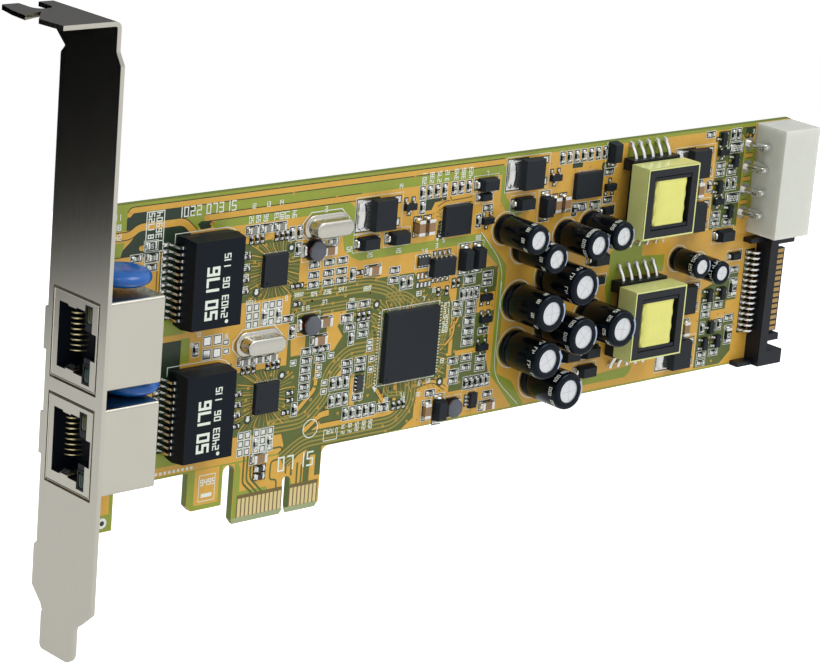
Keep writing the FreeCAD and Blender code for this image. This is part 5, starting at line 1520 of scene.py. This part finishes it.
def makeLegend():
    printFrame(19.8, 39.5, 24.0, 56.0, 0.2)
    for down in (45.2, 47.2):
        printPatch(19.8, down, 24.0, down + 0.18)
    label("81725", 20.4, 44.6, 1.2, turned=True)
    label("36904", 22.2, 44.6, 1.2, turned=True)
    label("1022", 27.0, 39.6, 1.75, weight=0.15)
    label("07315", 33.7, 39.6, 1.75, weight=0.15)
    label("07", 55.4, 92.9, 2.7, weight=0.13)
    label("15", 60.4, 92.9, 2.7, weight=0.13)
    printFrame(35.9, 93.2, 39.9, 98.6, 0.16)
    printPatch(36.6, 97.0, 39.2, 97.8)
    for number, across in enumerate((36.4, 38.2)):
        label(str(94 + number), across, 94.2, 1.1)
    label("3", 5.2, 94.0, 1.3)
    label("26", 3.6, 95.6, 1.3)
    for step, text in enumerate(("31", "18", "42")):
        label(text, 12.5 + step * 0.2, 39.4 + step * 1.9, 1.0)
    for row in (44.5, 70.3):
        for route in (
                ((26.7, row + 1.8), (26.7, row), (38.8, row)),
                ((38.8, row), (40.4, row + 0.5), (41.6, row + 1.5))):
            printTrace(route, 0.17)
    for step, across in enumerate((87.7, 89.7, 91.7, 93.7, 96.2, 98.1, 100.1)):
        label(str(201 + step * 37)[:3], across - 0.55, 41.3, 0.95, turned=True)
    for step, across in enumerate((44.5, 46.2, 48.0, 50.6, 51.9, 53.2, 55.0)):
        label(str(52 + step * 7), across - 0.5, 44.4, 0.95, turned=True)
    for step, across in enumerate((44.8, 48.3, 51.4)):
        label(str(12 + step), across - 0.6, 40.7, 0.85)
    for across, down, text, size in labels:
        label(text, across, down, size)
    for step, text in enumerate(("27", "31", "45", "52", "60")):
        label(text, 95.9, 66.8 + step * 1.3, 0.95)
    for across in (71.5, 73.3, 75.1, 76.9, 78.6):
        label(str(int(across * 3)), across - 0.5, 90.4, 0.8, turned=True)
    printFrame(66.4, 88.9, 70.0, 91.3, 0.16)
    for step in range(9):
        printPatch(25.2 + step * 1.05, 90.9, 25.8 + step * 1.05, 91.5)
    # The round outline of a part left off the board.
    addRing(legend, 62.9, 88.0, 1.75, 1.95, layers["ink"], legendInk, steps=28)
    # The switch chip's frame, its corner wedge and a tick for each group of legs.
    low, high = nodeRange("switch_chip")
    printFrameRound(low, high, 0.75, 0.75, 0.15)
    addFlat(legend, [(78.2, 81.7), (79.6, 81.7), (79.0, 83.0)], layers["ink"], legendInk)
    for step in range(24):
        along = low.z - 0.2 + step * (high.z - low.z) / 23
        printPatch(low.x - 1.5, along, low.x - 1.05, along + 0.2)
        printPatch(high.x + 1.05, along, high.x + 1.5, along + 0.2)
    # The capacitors' bank is outlined by a curved line.
    printTrace(
        rounded(((104.3, 53.0), (111.2, 60.6), (111.2, 68), (111.2, 84.5), (119, 91.6)), 4), 0.16)
    for low, high in map(nodeRange, named("can_capacitor")):
        radius = (high.x - low.x) / 2
        addRing(legend, *centreOf(low, high), radius + 0.25, radius + 0.45, layers["ink"],
                legendInk, steps=32)
    for low, high in map(nodeRange, named("crystal")):
        outline = [(point[0], point[2]) for point in rectangle(low, high, 0, -0.5, 2.2)]
        printTrace(outline + outline[:1], 0.22)


makeCopper()
makeTongue()
makeLegend()
for sheet in (copper, legend, clearance):
    makePiece(sheet, solid=False)
print("copper ready")

back = {
    "joint": 0.95, "rise": 0.95, "canLead": 1.9, "crystalLead": 2.44, "discLead": 2.5,
    "contactRows": (8.2, 10.7), "contactPitch": 1.27, "postAcross": 6.0, "vias": 150}

# Wide areas of bare laminate on the solder side, and the conductors that cross them.
backAreas = (
    ((1.6, 38.2), (193, 38.2), (193, 39.8), (1.6, 39.8)),
    ((20, 44), (30, 42), (58, 42), (64, 48), (64, 58), (52, 66), (28, 66), (20, 60)),
    ((24, 70), (60, 68), (68, 76), (68, 88), (58, 91.5), (30, 91.5), (24, 86)),
    ((76, 56), (98, 54), (106, 62), (104, 84), (84, 90), (74, 82), (72, 64)),
    ((116, 44), (140, 42), (144, 50), (140, 58), (118, 58)),
    ((150, 60), (172, 60), (178, 68), (176, 84), (156, 90), (148, 82)))
backTraces = (
    (6, 0.8, ((26, 46), (54, 46), (60, 52), (60, 78), (66, 84), (86, 84))),
    (5, 0.8, ((30, 62), (48, 62), (56, 70), (56, 90), (52, 97))),
    (5, 0.8, ((80, 58), (92, 58), (100, 66), (100, 80), (92, 88), (70, 88))),
    (4, 0.9, ((118, 47), (134, 47), (139, 52), (139, 64), (150, 74), (172, 74))),
    (4, 0.9, ((154, 64), (168, 64), (174, 70), (174, 84))))


def makeBack():
    # Mask over copper and traces, vias, and a risen joint for each lead that comes through.
    piece = newPiece("solder_side", "board")
    under = -boardThick
    for number, outline in enumerate(backAreas):
        addFlat(piece, list(outline), under - 0.004 - number * 0.0005, maskOnLaminate)
    for number, (count, pitch, route) in enumerate(backTraces):
        path = rounded(route, 2.5)
        for shift in inRow(count, pitch):
            addTrace(piece, shifted(path, shift), pitch * 0.5, under - 0.008 - number * 0.001,
                     maskOnCopper)
    for step in range(back["vias"]):
        across, down = dice.uniform(22, 186), dice.uniform(41, 90)
        addSpot(piece, across, down, 0.35, under - 0.014 - step * 0.00001, maskOnTraces, steps=10)
        addSpot(piece, across, down, 0.15, under - 0.017 - step * 0.00001, maskDark, steps=8)
    places = []
    for name in sorted(nodes):
        low, high = nodeRange(name)
        across, down = centreOf(low, high)
        if name.startswith("can_capacitor"):
            lead = back["canLead"] * (high.x - low.x) / 8
            places += [(across, down - lead), (across, down + lead)]
        elif name.startswith(("crystal", "disc_capacitor")):
            lead = back["crystalLead" if name.startswith("crystal") else "discLead"]
            places += [(across - lead, down), (across + lead, down)]
        elif name.startswith("transformer_pins"):
            for shift in inRow(wires["count"], wires["pitch"]):
                places += [(across + shift, low.z + 1.3), (across + shift, high.z - 1.3)]
        elif name.startswith("jack_shield"):
            for number, shift in enumerate(inRow(8, back["contactPitch"])):
                places.append((back["contactRows"][number % 2], down + shift))
            places += [(back["postAcross"], low.z + 0.4), (back["postAcross"], high.z - 0.4)]
    for start, end in blocks("power_inlet_pins"):
        places.append((start[0] + inletTail["root"], (start[2] + end[2]) / 2))
    size = back["joint"]
    for at in places:
        addTurned(piece, at, [(size * 1.15, under - 0.02), (size, under - 0.05)], tin, 18)
        addTurned(piece, at, [
            (size, under - 0.05), (size * 0.8, under - 0.25), (size * 0.5, under - 0.55),
            (size * 0.36, under - 0.8), (size * 0.3, under - back["rise"])], tin, 18, top=True)
    for text, across, down, size in (
            ("07315", 92, 48, 2.2), ("204", 44, 54, 1.6), ("61", 128, 80, 1.6), ("18", 160, 46, 1.6)):
        def onBack(along, below):
            return (across - along, under - 0.03, down + below)

        addDigits(piece, text, onBack, size, legendInk, weight=0.16)
    makePiece(piece)


makeBack()
print("solder side ready")
